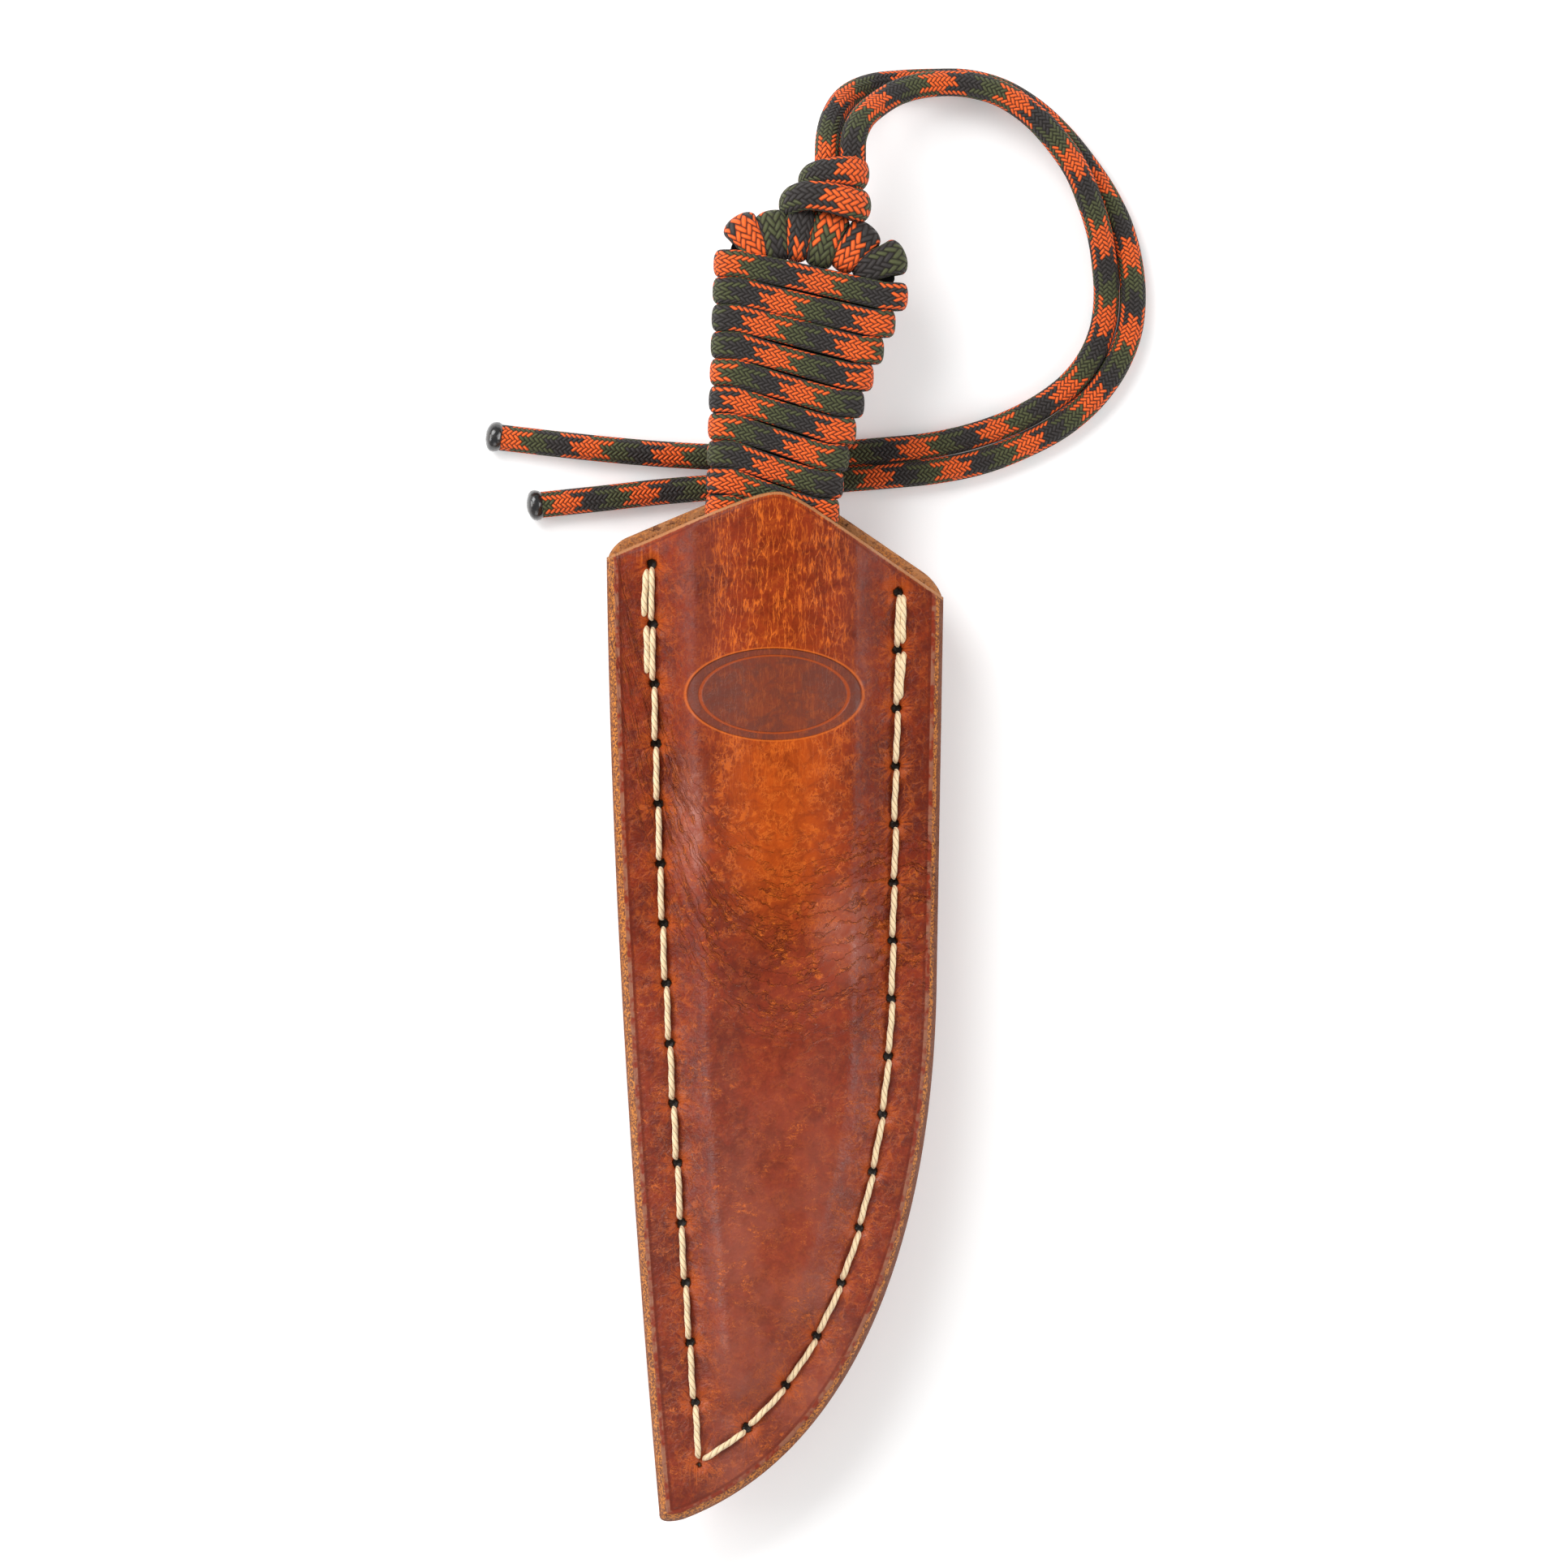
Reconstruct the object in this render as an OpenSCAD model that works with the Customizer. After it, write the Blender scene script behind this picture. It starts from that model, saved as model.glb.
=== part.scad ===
// Belt knife with a cord-wrapped full tang, a two-strand lanyard and a hand-sewn leather
// pouch sheath. Millimetres. +Y runs from the toe of the sheath to the butt of the knife,
// +Z points out of the front panel, and the part lies on the outer face of its belt loop.
// The knife slides out of the sheath along its own axis.

/* [Knife] */
// Length from the end of the handle to the tip
blade_l = 71; // [58:1:86]
// Width at the heel, from spine to edge
blade_w = 21.5; // [17.5:0.5:26]
// Thickness of the steel in blade and tang
steel_t = 2.8; // [2.2:0.1:3.4]
// Thickness left along the ground edge
edge_t = 0.4; // [0.2:0.1:0.8]
// How far the tip lies below the line of the spine
tip_drop = 5.5; // [3:0.5:9]
// Length of the tang from the blade to the top of the butt ring
tang_l = 106.6; // [88:0.2:128]
// Width of the tang at its waist
grip_w = 15.2; // [12:0.2:18]
// How much wider the tang is at the butt
butt_flare = 9.7; // [6:0.1:13]
// Width of the steel band round the hole in the butt ring
ring_band = 2.6; // [2:0.1:3.4]
// Angle between the line of draw and the +Y axis
draw_lean = 2; // [0:0.5:4]

/* [Cord] */
// Diameter of the round cord in the lanyard
cord_d = 3.8; // [3:0.1:4.4]
// Thickness of the cord where it is pulled flat on the handle
flat_t = 2.3; // [1.8:0.1:2.8]
// Thickness of the cord where it is looped round the butt ring
ring_flat_t = 2; // [1.6:0.1:2.2]
// Width of the flattened cord
flat_w = 3.9; // [3:0.1:4]
// Distance from one turn on the handle to the next
wrap_pitch = 4.08; // [4.08:0.02:5]
// Length of a melted cord end
tip_l = 2.2; // [1.5:0.1:4]

/* [Sheath] */
// Thickness of the front panel
front_t = 2.6; // [2:0.1:3.2]
// Thickness of the back panel
back_t = 2.8; // [2.2:0.1:3.6]
// Thickness of the welt between the panels
welt_t = 2.6; // [2:0.1:3.4]
// Height of the mouth's point above the end of the handle
cover_l = 66; // [54:1:76]
// How far the back panel stands above the front at the mouth
mouth_step = 1.8; // [0:0.1:4]
// Distance from the outline to the seam
seam_inset = 6.8; // [5:0.1:9]
// Distance from the seam to the inner edge of the welt
seam_margin = 2.3; // [1.6:0.1:4]
// Free gap between the knife and the leather it slides in
draw_gap = 0.3; // [0.2:0.05:0.6]
// Room beside the blade's edge
edge_room = 4.3; // [3.5:0.1:7]

/* [Seam] */
// Diameter of the sewing thread
thread_d = 0.9; // [0.5:0.05:1]
// Diameter of the awl holes, with room for two threads
awl_d = 2.1; // [2.05:0.05:2.6]
// Distance from hole to hole
stitch = 8.8; // [6:0.2:12]

/* [Belt loop] */
// Width of the strap
strap_w = 26; // [18:1:30]
// Thickness of the strap
strap_t = 2.4; // [1.8:0.1:3.2]
// Width of the widest belt that passes
belt_w = 48; // [38:1:56]
// Room for the thickness of the belt
belt_gap = 4.8; // [4.4:0.1:6]
// Length of each sewn foot
foot_l = 12; // [9:0.5:16]

/* [Hidden] */

leather = "#8e4326";
flesh_side = "#b9834f";
thread_cream = "#e6d6b4";
steel = "#a9abad";
cord_orange = "#e8592b";
cord_olive = "#5b6047";
melted = "#1c1c1e";

// Heights of the layers above the outer face of the belt loop
back_z = strap_t + belt_gap;
welt_z = back_z + back_t;
front_z = welt_z + welt_t;
border_z = front_z + front_t;
wrap_gap = 0.05;
wrap_half = steel_t / 2 + wrap_gap + flat_t;
knife_z = welt_z + draw_gap + wrap_half;
handle_roof = knife_z + wrap_half + draw_gap - front_z;
blade_roof = max(knife_z + steel_t / 2 + draw_gap - front_z + 1.2, 1);
border = seam_inset + seam_margin;

// ---- points, curves and offsets ----
function turn(p, a) = [p.x * cos(a) - p.y * sin(a), p.x * sin(a) + p.y * cos(a)];
function unit(v) = v / norm(v);
function mix(a, b, t) = a + (b - a) * t;
function clamp01(v) = max(0, min(1, v));
function ease(v) = clamp01(v) * clamp01(v) * (3 - 2 * clamp01(v));
function bezier(c, t) = pow(1 - t, 3) * c[0] + 3 * t * pow(1 - t, 2) * c[1]
    + 3 * t * t * (1 - t) * c[2] + pow(t, 3) * c[3];
function curve(c, n, a = 0, b = 1) = [for (i = [0:n]) bezier(c, mix(a, b, i / n))];
function arc(c, r, a, b, n) = [for (i = [0:n]) c + r * [cos(mix(a, b, i / n)), sin(mix(a, b, i / n))]];
function reversed(p) = [for (i = [len(p) - 1:-1:0]) p[i]];
function from_knife(p) = turn(p, -draw_lean);

// ---- the knife in its own frame: spine on x = 0, end of the handle on y = 0 ----
heel_y = -6;
belly = [[blade_w, heel_y], [blade_w + 0.5, -0.45 * blade_l],
         [blade_w - 1.5, -0.79 * blade_l], [tip_drop, -blade_l]];
spine = [[0, heel_y], [0.2, -0.4 * blade_l], [0.35 * tip_drop, -0.73 * blade_l],
         [tip_drop, -blade_l]];
waist_y = 60;
swell = 1.2;
shoulder_r = 5.2;
corner_r = 6.2;
butt_w = grip_w + butt_flare;
shoulder_c = [shoulder_r, tang_l - shoulder_r];
corner_c = [butt_w - corner_r, tang_l - corner_r - 1.5];
function tang_edge(y) = y < waist_y ? grip_w + swell * sin(180 * max(y, 0) / waist_y)
    : grip_w + butt_flare * pow(min(1, (y - waist_y) / (corner_c.y - waist_y)), 1.8);
tang_right = [for (i = [0:16]) let (y = mix(corner_c.y, 0, i / 16)) [tang_edge(y), y]];
ring_top_a = acos((corner_r - shoulder_r) / norm(corner_c - shoulder_c))
    + atan2(corner_c.y - shoulder_c.y, corner_c.x - shoulder_c.x);
hole_y = corner_c.y - 0.5;
choil = curve([[grip_w, 0], [grip_w, -4], [blade_w - 3, -4], [blade_w, heel_y]], 6);
tang_outline = concat([[0, heel_y]], arc(shoulder_c, shoulder_r, 180, ring_top_a, 10),
                      arc(corner_c, corner_r, ring_top_a, 0, 10), tang_right, choil);
ring_hole = concat([[ring_band, hole_y]],
                   arc(shoulder_c, shoulder_r - ring_band, 180, ring_top_a, 8),
                   arc(corner_c, corner_r - ring_band, ring_top_a, 0, 8),
                   [[butt_w - ring_band, hole_y]]);

// ---- the sheath, seen from the front with the end of the handle at the origin ----
mouth_left_y = cover_l - 9.7;
mouth_right_y = cover_l - 15.7;
blade_tip = from_knife(belly[3]);
left_top = [-(border + 5.8), mouth_left_y];
left_mid = [-(border + 5), heel_y];
toe_left = blade_tip - [border + 0.9, border + 7];
left_edge = [left_top, mix(left_top, left_mid, 2 / 3), mix(toe_left, left_mid, 2 / 3), toe_left];
right_belly = from_knife(belly[0]) + [border + edge_room, 0];
right_edge = [right_belly, from_knife(belly[1]) + [border + edge_room, -15],
              from_knife(belly[2]) + [border - 5.6, -border - 12.9],
              blade_tip - [6.5, border + 7.9]];
right_top = [right_belly.x + 1, mouth_right_y];
peak_x = 10.9;
peak_r = 1.5;
// Slopes that bring the mouth's two sides down to the corners
slope_l = sqrt(pow(cover_l + peak_r - mouth_left_y, 2) - peak_r * peak_r) / (peak_x - left_top.x);
slope_r = sqrt(pow(cover_l + peak_r - mouth_right_y, 2) - peak_r * peak_r) / (right_top.x - peak_x);
function mouth_y(x) = cover_l + peak_r
    - sqrt(pow(peak_r, 2) + pow((x < peak_x ? slope_l : slope_r) * (x - peak_x), 2));

// Both side edges as functions of t, from the mouth at 0 to the toe at 1
straight_part = 0.4;
function left_at(t) = bezier(left_edge, t);
function right_at(t) = t < straight_part ? mix(right_top, right_belly, t / straight_part)
    : bezier(right_edge, (t - straight_part) / (1 - straight_part));
function side_at(side, t) = side < 0 ? left_at(t) : right_at(t);
function inward(side, t) =
    let (d = unit(side_at(side, min(1, t + 0.004)) - side_at(side, max(0, t - 0.004))))
    side < 0 ? [-d.y, d.x] : [d.y, -d.x];
function inset_at(side, d, t) = side_at(side, t) + d * inward(side, t);

// Where the left and the right offset curves cross near the toe: [t left, t right]
function cross_z(a, b) = a.x * b.y - a.y * b.x;
function hits(p, q) = [for (i = [0:len(p) - 2]) for (j = [0:len(q) - 2])
    let (u = p[i + 1] - p[i], v = q[j + 1] - q[j], w = q[j] - p[i], k = cross_z(u, v))
    if (abs(k) > 1e-9)
        let (a = cross_z(w, v) / k, b = cross_z(w, u) / k)
        if (a >= 0 && a < 1 && b >= 0 && b < 1) [i + a, j + b]];
crossing_n = 40;
crossing_from = 0.7;
function offsets(side, d) =
    [for (i = [0:crossing_n]) inset_at(side, d, mix(crossing_from, 1, i / crossing_n))];
function crossing(d) = let (h = hits(offsets(-1, d), offsets(1, d))[0])
    [for (v = h) mix(crossing_from, 1, v / crossing_n)];

pocket_end = crossing(border);
seam_end = crossing(seam_inset);
side_n = 30;
function side_line(side, d, end, n = side_n) = [for (i = [0:n]) inset_at(side, d, end * i / n)];
function raised(p, step) = concat([[p[0].x, mouth_y(p[0].x) + step]], [for (i = [1:len(p) - 1]) p[i]]);

toe_corner = blade_tip - [border + 1.1, border + 8.8];
toe_round = [for (t = [0.25, 0.5, 0.75])
    mix(mix(toe_left, toe_corner, t), mix(toe_corner, right_edge[3], t), t)];
left_outline = side_line(-1, 0, 1);
right_outline = side_line(1, 0, 1);
mouth_n = 14;
function mouth_line(step) = [for (i = [1:mouth_n - 1])
    let (x = mix(right_top.x, left_top.x, i / mouth_n)) [x, mouth_y(x) + step]];
function panel_outline(step) = concat(raised(left_outline, step), toe_round,
                                      reversed(raised(right_outline, step)), mouth_line(step));

// ---- the seam: one row down each side, meeting at the toe ----
mouth_margin = 3.9;
function run_length(p, i = 0, sum = 0) = i >= len(p) - 1 ? sum
    : run_length(p, i + 1, sum + norm(p[i + 1] - p[i]));
function at_length(p, s, i = 0) = let (d = norm(p[i + 1] - p[i]))
    s <= d || i >= len(p) - 2 ? mix(p[i], p[i + 1], s / d) : at_length(p, s - d, i + 1);
function spaced(p) = let (l = run_length(p), n = round(l / stitch))
    [for (i = [0:n]) at_length(p, l * i / n)];
function row_path(side) =
    let (p = side_line(side, seam_inset, seam_end[side < 0 ? 0 : 1]),
         top = [p[0].x, mouth_y(p[0].x) - mouth_margin])
    concat([top], [for (q = p) if (q.y < top.y - 0.5) q]);
left_row = spaced(row_path(-1));
right_row = spaced(row_path(1));
seam_holes = concat(left_row, [for (i = [len(right_row) - 2:-1:0]) right_row[i]]);
row_offset = awl_d / 4;
thread_r = thread_d / 2;
lock_shift = row_offset + thread_d + 0.15;
lock_hole_d = thread_d + 0.3;
// A lock stitch straddles the second hole of its row, on the outer side
function lock_pair(row, side) = [for (s = [-1, 1])
    let (d = unit(row[2] - row[1])) row[1] + s * 0.55 * stitch * d + lock_shift * side * [-d.y, d.x]];
lock_stitch_pairs = [lock_pair(left_row, -1), lock_pair(right_row, 1)];

// ---- the belt loop behind the sheath ----
ramp_l = 6;
strap_x = 11;
strap_top = cover_l - 15;
strap_l = belt_w + 2 * (ramp_l + foot_l);
foot_rows = [strap_top - foot_l / 2, strap_top - strap_l + foot_l / 2];
foot_stitch = 5;
foot_holes = floor((strap_w - 6) / foot_stitch);
groove_d = thread_d + 0.2;
function foot_row(y) = [for (i = [0:foot_holes])
    [strap_x + (i - foot_holes / 2) * foot_stitch, y]];

// ---- the lanyard knot, in the knife's frame ----
knot_x = 14.8;
knot_y = tang_l + 4.1;
knot_r = 2.1;
upper_turn = [knot_x + 0.9, knot_y + 3.7];

// ---- centring: x on the sheath's middle, y between the toe and the top of the knot ----
outline_x = [for (p = concat(left_outline, right_outline)) p.x];
toe_y = min([for (p = toe_round) p.y]);
knot_top = from_knife(upper_turn).y + knot_r + 0.35;
centre = [(min(outline_x) + max(outline_x)) / 2, (toe_y + knot_top) / 2, 0];

// Routes of the two lanyard strands over the surface that the part lies on, from the knot
// to the melted end: outer strand a, inner strand b
route_a = [[7.9, 99.4, 13.6], [7.9, 102.4, 13.8], [8, 105, 12.6], [8.8, 108.6, 9.8],
           [11, 112, 6.2], [14.6, 113.8, 3.2], [19, 114.4, 1.9], [24, 114.6, 1.9],
           [29, 114.5, 1.9], [34, 113.2, 1.9], [38.8, 110.4, 1.9], [43.2, 106.4, 1.9],
           [46.8, 102, 1.9], [49.9, 97.4, 1.9], [52.2, 92.6, 1.9], [53.6, 87.4, 1.9],
           [54.1, 82, 1.9], [53.5, 76.6, 1.9], [51.4, 71.4, 1.9], [47.9, 66.6, 1.9],
           [43.2, 62.6, 1.9], [37.4, 59.5, 1.9], [31, 57.1, 1.9], [24, 55.7, 1.9],
           [17, 55, 1.9], [9.5, 54.4, 1.9], [1, 53.7, 1.9], [-8, 53.3, 1.9],
           [-17, 52.6, 1.9], [-26, 51.6, 1.9], [-35.4, 50.6, 1.9]];
route_b = [[11.7, 99.4, 14.2], [11.7, 102.4, 14.8], [11.8, 105.2, 14.6], [12.9, 108, 13],
           [15.4, 110.6, 10.2], [19.2, 112.9, 7.4], [24, 114, 5.9], [29, 113.9, 5.7],
           [34, 112.5, 5.8], [38.5, 109.6, 5.8], [42.4, 105.5, 5.75], [45.5, 101, 5.55],
           [47.5, 96.3, 4.85], [49, 91.6, 3.95], [49.8, 86.8, 2.9], [50.1, 82, 2.1],
           [49.5, 77.2, 1.9], [47.6, 72.6, 1.9], [44.6, 68.8, 1.9], [40.6, 65.7, 1.9],
           [35.7, 63.1, 1.9], [29.8, 61, 1.9], [23.4, 59.6, 1.9], [16.6, 58.9, 1.9],
           [9, 58.3, 1.9], [1, 57.8, 1.9], [-7.5, 57.8, 1.9], [-16, 58.2, 1.9],
           [-24.5, 58.9, 1.9], [-33, 59.8, 1.9], [-41.6, 60.8, 1.9]];
cord_sides = 8;

// ---- shapes made of rings of points ----
function ring_faces(m, n) = [for (j = [0:m - 2]) for (i = [0:n - 1]) each
    [[j * n + i, j * n + (i + 1) % n, (j + 1) * n + i],
     [j * n + (i + 1) % n, (j + 1) * n + (i + 1) % n, (j + 1) * n + i]]];

// An open tube through a list of rings, closed by its two end faces
module tube(rings) {
    n = len(rings[0]);
    m = len(rings);
    polyhedron([for (r = rings) each r],
               concat(ring_faces(m, n), [[for (i = [n - 1:-1:0]) i]],
                      [[for (i = [0:n - 1]) (m - 1) * n + i]]), convexity = 10);
}

// A closed loop through a list of rings
module loop(rings) {
    n = len(rings[0]);
    m = len(rings);
    polyhedron([for (r = rings) each r],
               [for (f = ring_faces(m + 1, n)) [for (v = f) v % (m * n)]], convexity = 10);
}

// Rings of a round cord along a route
function cord_rings(p, d) = [for (i = [0:len(p) - 1])
    let (t = unit(p[min(i + 1, len(p) - 1)] - p[max(i - 1, 0)]),
         s = unit(cross(t, [0, 0, 1])),
         u = cross(s, t))
    [for (k = [0:cord_sides - 1])
        let (a = (k + 0.5) * 360 / cord_sides) p[i] + d / 2 * (cos(a) * s + sin(a) * u)]];

// A thread goes over one gap and under the next. Each corner is [point, mitre direction].
function hole_dir(p, i) = unit(p[min(i + 1, len(p) - 1)] - p[max(i - 1, 0)]);
function thread_corners(p, top, low, phase) =
    let (n = len(p) - 1, mid = (top + low) / 2)
    [for (i = [0:n])
        let (d = hole_dir(p, i),
             t = [d.x, d.y, 0],
             s = [d.y, -d.x, 0],
             c = [p[i].x, p[i].y, 0] + (phase == 0 ? 1 : -1) * row_offset * s,
             over_before = i % 2 == (phase == 0 ? 1 : 0),
             down = over_before,
             m = down ? [0, 0, 1] + t : [0, 0, 1] - t,
             first = c + [0, 0, down ? top : low],
             last = c + [0, 0, down ? low : top],
             centre_pt = c + [0, 0, mid])
        each i == 0 ? [[centre_pt, down ? t : -t, s], [last, m, s]]
            : i == n ? [[first, m, s], [centre_pt, down ? t : -t, s]]
            : [[first, m, s], [last, m, s]]];
function thread_rings(corners) = [for (c = corners)
    [for (k = [0:5]) let (a = 60 * k + 30) c[0] + thread_r * (cos(a) * c[2] + sin(a) * c[1])]];

module thread_run(holes, top, low, phase) tube(thread_rings(thread_corners(holes, top, low, phase)));

// One closed loop of thread through two holes
module lock_stitch(pair, top, low) {
    d = unit(pair[1] - pair[0]);
    t = [d.x, d.y, 0];
    s = [d.y, -d.x, 0];
    a = [pair[0].x, pair[0].y, 0];
    b = [pair[1].x, pair[1].y, 0];
    z = [0, 0, 1];
    loop(thread_rings([[a + top * z, z - t, s], [b + top * z, z + t, s],
                       [b + low * z, t - z, s], [a + low * z, -z - t, s]]));
}

module in_sheath() translate(-centre) children();
module in_knife() translate([-centre.x, -centre.y, knife_z]) rotate([0, 0, -draw_lean]) children();

// ---- leather ----
module awl_holes() {
    for (p = seam_holes) translate(p) circle(d = awl_d, $fn = 24);
    for (pair = lock_stitch_pairs) for (p = pair) translate(p) circle(d = lock_hole_d, $fn = 24);
}

// The front panel is a grid of points: stations down the sheath, columns across it
station_n = 34;
toe_n = 5;
column_n = 18;
rise_out = 1.2;
slope_handle = 4.3;
slope_blade = 3.6;
function zone(y) = ease((y + 22) / 20);
function station_t(side, j) = let (e = pocket_end[side < 0 ? 0 : 1])
    j <= station_n ? e * pow(j / station_n, 0.92) : mix(e, 1, (j - station_n) / toe_n);
function fade(j) = pow(max(0, 1 - j / 14), 2);
function shifted(p, top, j) = p + [0, (mouth_y(top.x) - top.y) * fade(j)];

// One station of the moulded part: list of [point, distance from the pocket's edge, half width]
function pocket_station(j) =
    let (l = inset_at(-1, border, station_t(-1, j)),
         r = inset_at(1, border, station_t(1, j)),
         pinch = 0.4 * unit(r - l + [0.001, 0]),
         a = j == station_n ? l - pinch : l,
         b = j == station_n ? l + pinch : r,
         w = norm(b - a))
    [for (k = [0:column_n]) let (u = (1 - cos(180 * k / column_n)) / 2)
        [mix(a, b, u), w * min(u, 1 - u), w / 2]];
function height(p, d, half, inner) =
    let (z = zone(p.y),
         w = mix(slope_blade, slope_handle, z),
         h = mix(blade_roof, handle_roof, z) * clamp01(half / w),
         e = inner ? 0 : rise_out)
    h * sin(90 * clamp01((d + e) / (w + e)));
function front_station(j) =
    let (a = side_at(-1, station_t(-1, j)), b = side_at(1, station_t(1, j)))
    j > station_n
        ? [for (k = [0:column_n + 4]) [mix(a, b, k / (column_n + 4)), 0, 0]]
        : let (core = pocket_station(j),
               l = core[0][0],
               r = core[column_n][0])
          concat([[a, 0, 0], [l + unit(a - l) * rise_out, 0, 0]],
                 [for (c = core) [c[0], height(c[0], c[1], c[2], true), height(c[0], c[1], c[2], false)]],
                 [[r + unit(b - r) * rise_out, 0, 0], [b, 0, 0]]);
base_grid = [for (j = [0:station_n + toe_n]) front_station(j)];
front_grid = [for (j = [0:station_n + toe_n]) [for (k = [0:column_n + 4])
    let (c = base_grid[j][k], p = shifted(c[0], base_grid[0][k][0], j)) [p.x, p.y, c[1], c[2]]]];

module front_shell() {
    m = len(front_grid);
    n = len(front_grid[0]);
    top = [for (row = front_grid) for (c = row) [c[0], c[1], border_z + c[3]]];
    low = [for (row = front_grid) for (c = row) [c[0], c[1], front_z + c[2]]];
    o = m * n;
    faces_top = [for (j = [0:m - 2]) for (k = [0:n - 2]) let (i = j * n + k) each
        [[i, i + 1, i + n + 1], [i, i + n + 1, i + n]]];
    faces_low = [for (f = faces_top) [o + f[2], o + f[1], o + f[0]]];
    rim = concat([for (k = [0:n - 1]) k], [for (j = [1:m - 1]) j * n + n - 1],
                 [for (k = [n - 2:-1:0]) (m - 1) * n + k], [for (j = [m - 2:-1:1]) j * n]);
    faces_rim = [for (i = [0:len(rim) - 1]) let (a = rim[i], b = rim[(i + 1) % len(rim)]) each
        [[a, a + o, b], [b, a + o, b + o]]];
    polyhedron(concat(top, low), concat(faces_top, faces_low, faces_rim), convexity = 10);
}

module sheath_front() {
    color(leather) in_sheath() difference() {
        front_shell();
        translate([0, 0, front_z - 1]) linear_extrude(front_t + 2) awl_holes();
    }
}

module sheath_back() {
    color(leather) in_sheath() difference() {
        translate([0, 0, back_z]) linear_extrude(back_t) difference() {
            polygon(panel_outline(mouth_step));
            awl_holes();
            for (y = foot_rows) for (p = foot_row(y)) translate(p) circle(d = awl_d, $fn = 24);
        }
        // Grooves that sink the belt loop's thread below the pocket's floor
        for (y = foot_rows)
            translate([strap_x, y, welt_z]) cube([strap_w - 3, awl_d, 2 * groove_d], center = true);
    }
}

module welt(side) {
    e = pocket_end[side < 0 ? 0 : 1];
    outer = raised(side_line(side, 0, 1), 0);
    inner = raised(side_line(side, border, e), 0);
    half_toe = side < 0 ? [toe_round[0], toe_round[1]] : [toe_round[2], toe_round[1]];
    shape = concat(outer, half_toe, reversed(inner));
    translate([0, 0, welt_z]) linear_extrude(welt_t) difference() {
        polygon(shape);
        awl_holes();
    }
}

module spine_welt() color(flesh_side) in_sheath() welt(-1);

module edge_welt() color(flesh_side) in_sheath() welt(1);

// ---- thread ----
thread_top = border_z + thread_r + 0.02;
thread_low = back_z - thread_r - 0.02;
module seam_thread_a() color(thread_cream) in_sheath() thread_run(seam_holes, thread_top, thread_low, 0);

module seam_thread_b() color(thread_cream) in_sheath() thread_run(seam_holes, thread_top, thread_low, 1);

module lock_stitches() {
    color(thread_cream) in_sheath()
        for (pair = lock_stitch_pairs) lock_stitch(pair, thread_top, thread_low);
}

// ---- belt loop ----
module belt_loop() {
    a = strap_top - strap_l;
    b = strap_top;
    profile = [[a, back_z], [a, belt_gap], [a + foot_l, belt_gap], [a + foot_l + ramp_l, 0],
               [b - foot_l - ramp_l, 0], [b - foot_l, belt_gap], [b, belt_gap], [b, back_z],
               [b - foot_l, back_z], [b - foot_l - ramp_l, strap_t],
               [a + foot_l + ramp_l, strap_t], [a + foot_l, back_z]];
    color(leather) in_sheath() difference() {
        translate([strap_x, 0, 0]) rotate([90, 0, 90])
            linear_extrude(strap_w, center = true) polygon(profile);
        for (y = foot_rows) for (p = foot_row(y))
            translate([p.x, p.y, belt_gap - 1]) cylinder(d = awl_d, h = strap_t + 2, $fn = 24);
    }
}

module belt_loop_thread() {
    color(thread_cream) in_sheath() for (y = foot_rows) for (phase = [0, 1])
        thread_run(foot_row(y), welt_z - groove_d + thread_r + 0.05, belt_gap - thread_r - 0.02, phase);
}

// ---- knife ----
module blade() {
    grind_part = 0.42;
    thick = concat(curve(spine, 10, 0, 0.9),
                   [for (i = [10:-1:0]) mix(bezier(spine, 0.09 * i), bezier(belly, 0.09 * i), grind_part)]);
    color(steel) in_knife() union() {
        linear_extrude(steel_t, center = true) difference() {
            polygon(tang_outline);
            polygon(ring_hole);
        }
        hull() {
            linear_extrude(steel_t, center = true) polygon(thick);
            linear_extrude(edge_t, center = true)
                polygon(concat(curve(spine, 12), reversed(curve(belly, 16, 0, 0.98))));
        }
    }
}

// One turn of flat cord: along the front, round the edge, back behind, round the spine.
// Each entry is [x, z, outward direction, share of the pitch, slope of the cord]
bend_r = 1.2;
mid_h = steel_t / 2 + wrap_gap + flat_t / 2;
mid_w = bend_r + wrap_gap + flat_t / 2;
function bend_pt(a) = [mid_w * sign(cos(a)) * pow(abs(cos(a)), 0.55),
                       mid_h * sign(sin(a)) * pow(abs(sin(a)), 0.55)];
function turn_pts(w) = let (r = w - bend_r)
    concat([[bend_r + 0.3, mid_h, 90, 0, 1], [r - 0.3, mid_h, 90, 1, 1]],
           [for (a = [60, 25, -25, -60]) let (q = bend_pt(a)) [r + q.x, q.y, a, 1, a > 0 ? 0.5 : 0]],
           [[r - 0.3, -mid_h, 270, 1, 0], [bend_r + 0.3, -mid_h, 270, 1, 0]],
           [for (a = [240, 205, 155, 120]) let (q = bend_pt(a))
               [bend_r + q.x, q.y, a, 1, a < 180 ? 0.5 : 0]]);
function flat_ring(p, n, w, half_w, half_t) = [for (k = [0:5])
    let (a = 60 * k) p + half_w * cos(a) * w + half_t / sin(60) * sin(a) * n];
wrap_from = tang_l - 6.2;
wrap_turns = floor((wrap_from - 2) / wrap_pitch);
function wrap_rings() = [for (j = [0:wrap_turns - 1])
    let (y0 = wrap_from - j * wrap_pitch, w = tang_edge(y0 - wrap_pitch / 2), slope = wrap_pitch / w)
    for (q = turn_pts(w))
        flat_ring([q[0], y0 - wrap_pitch * q[3], q[1]], [cos(q[2]), 0, sin(q[2])],
                  unit([slope * q[4], 1, 0]), flat_w / 2, flat_t / 2)];

module handle_wrap() color(cord_orange) in_knife() tube(wrap_rings());

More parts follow.
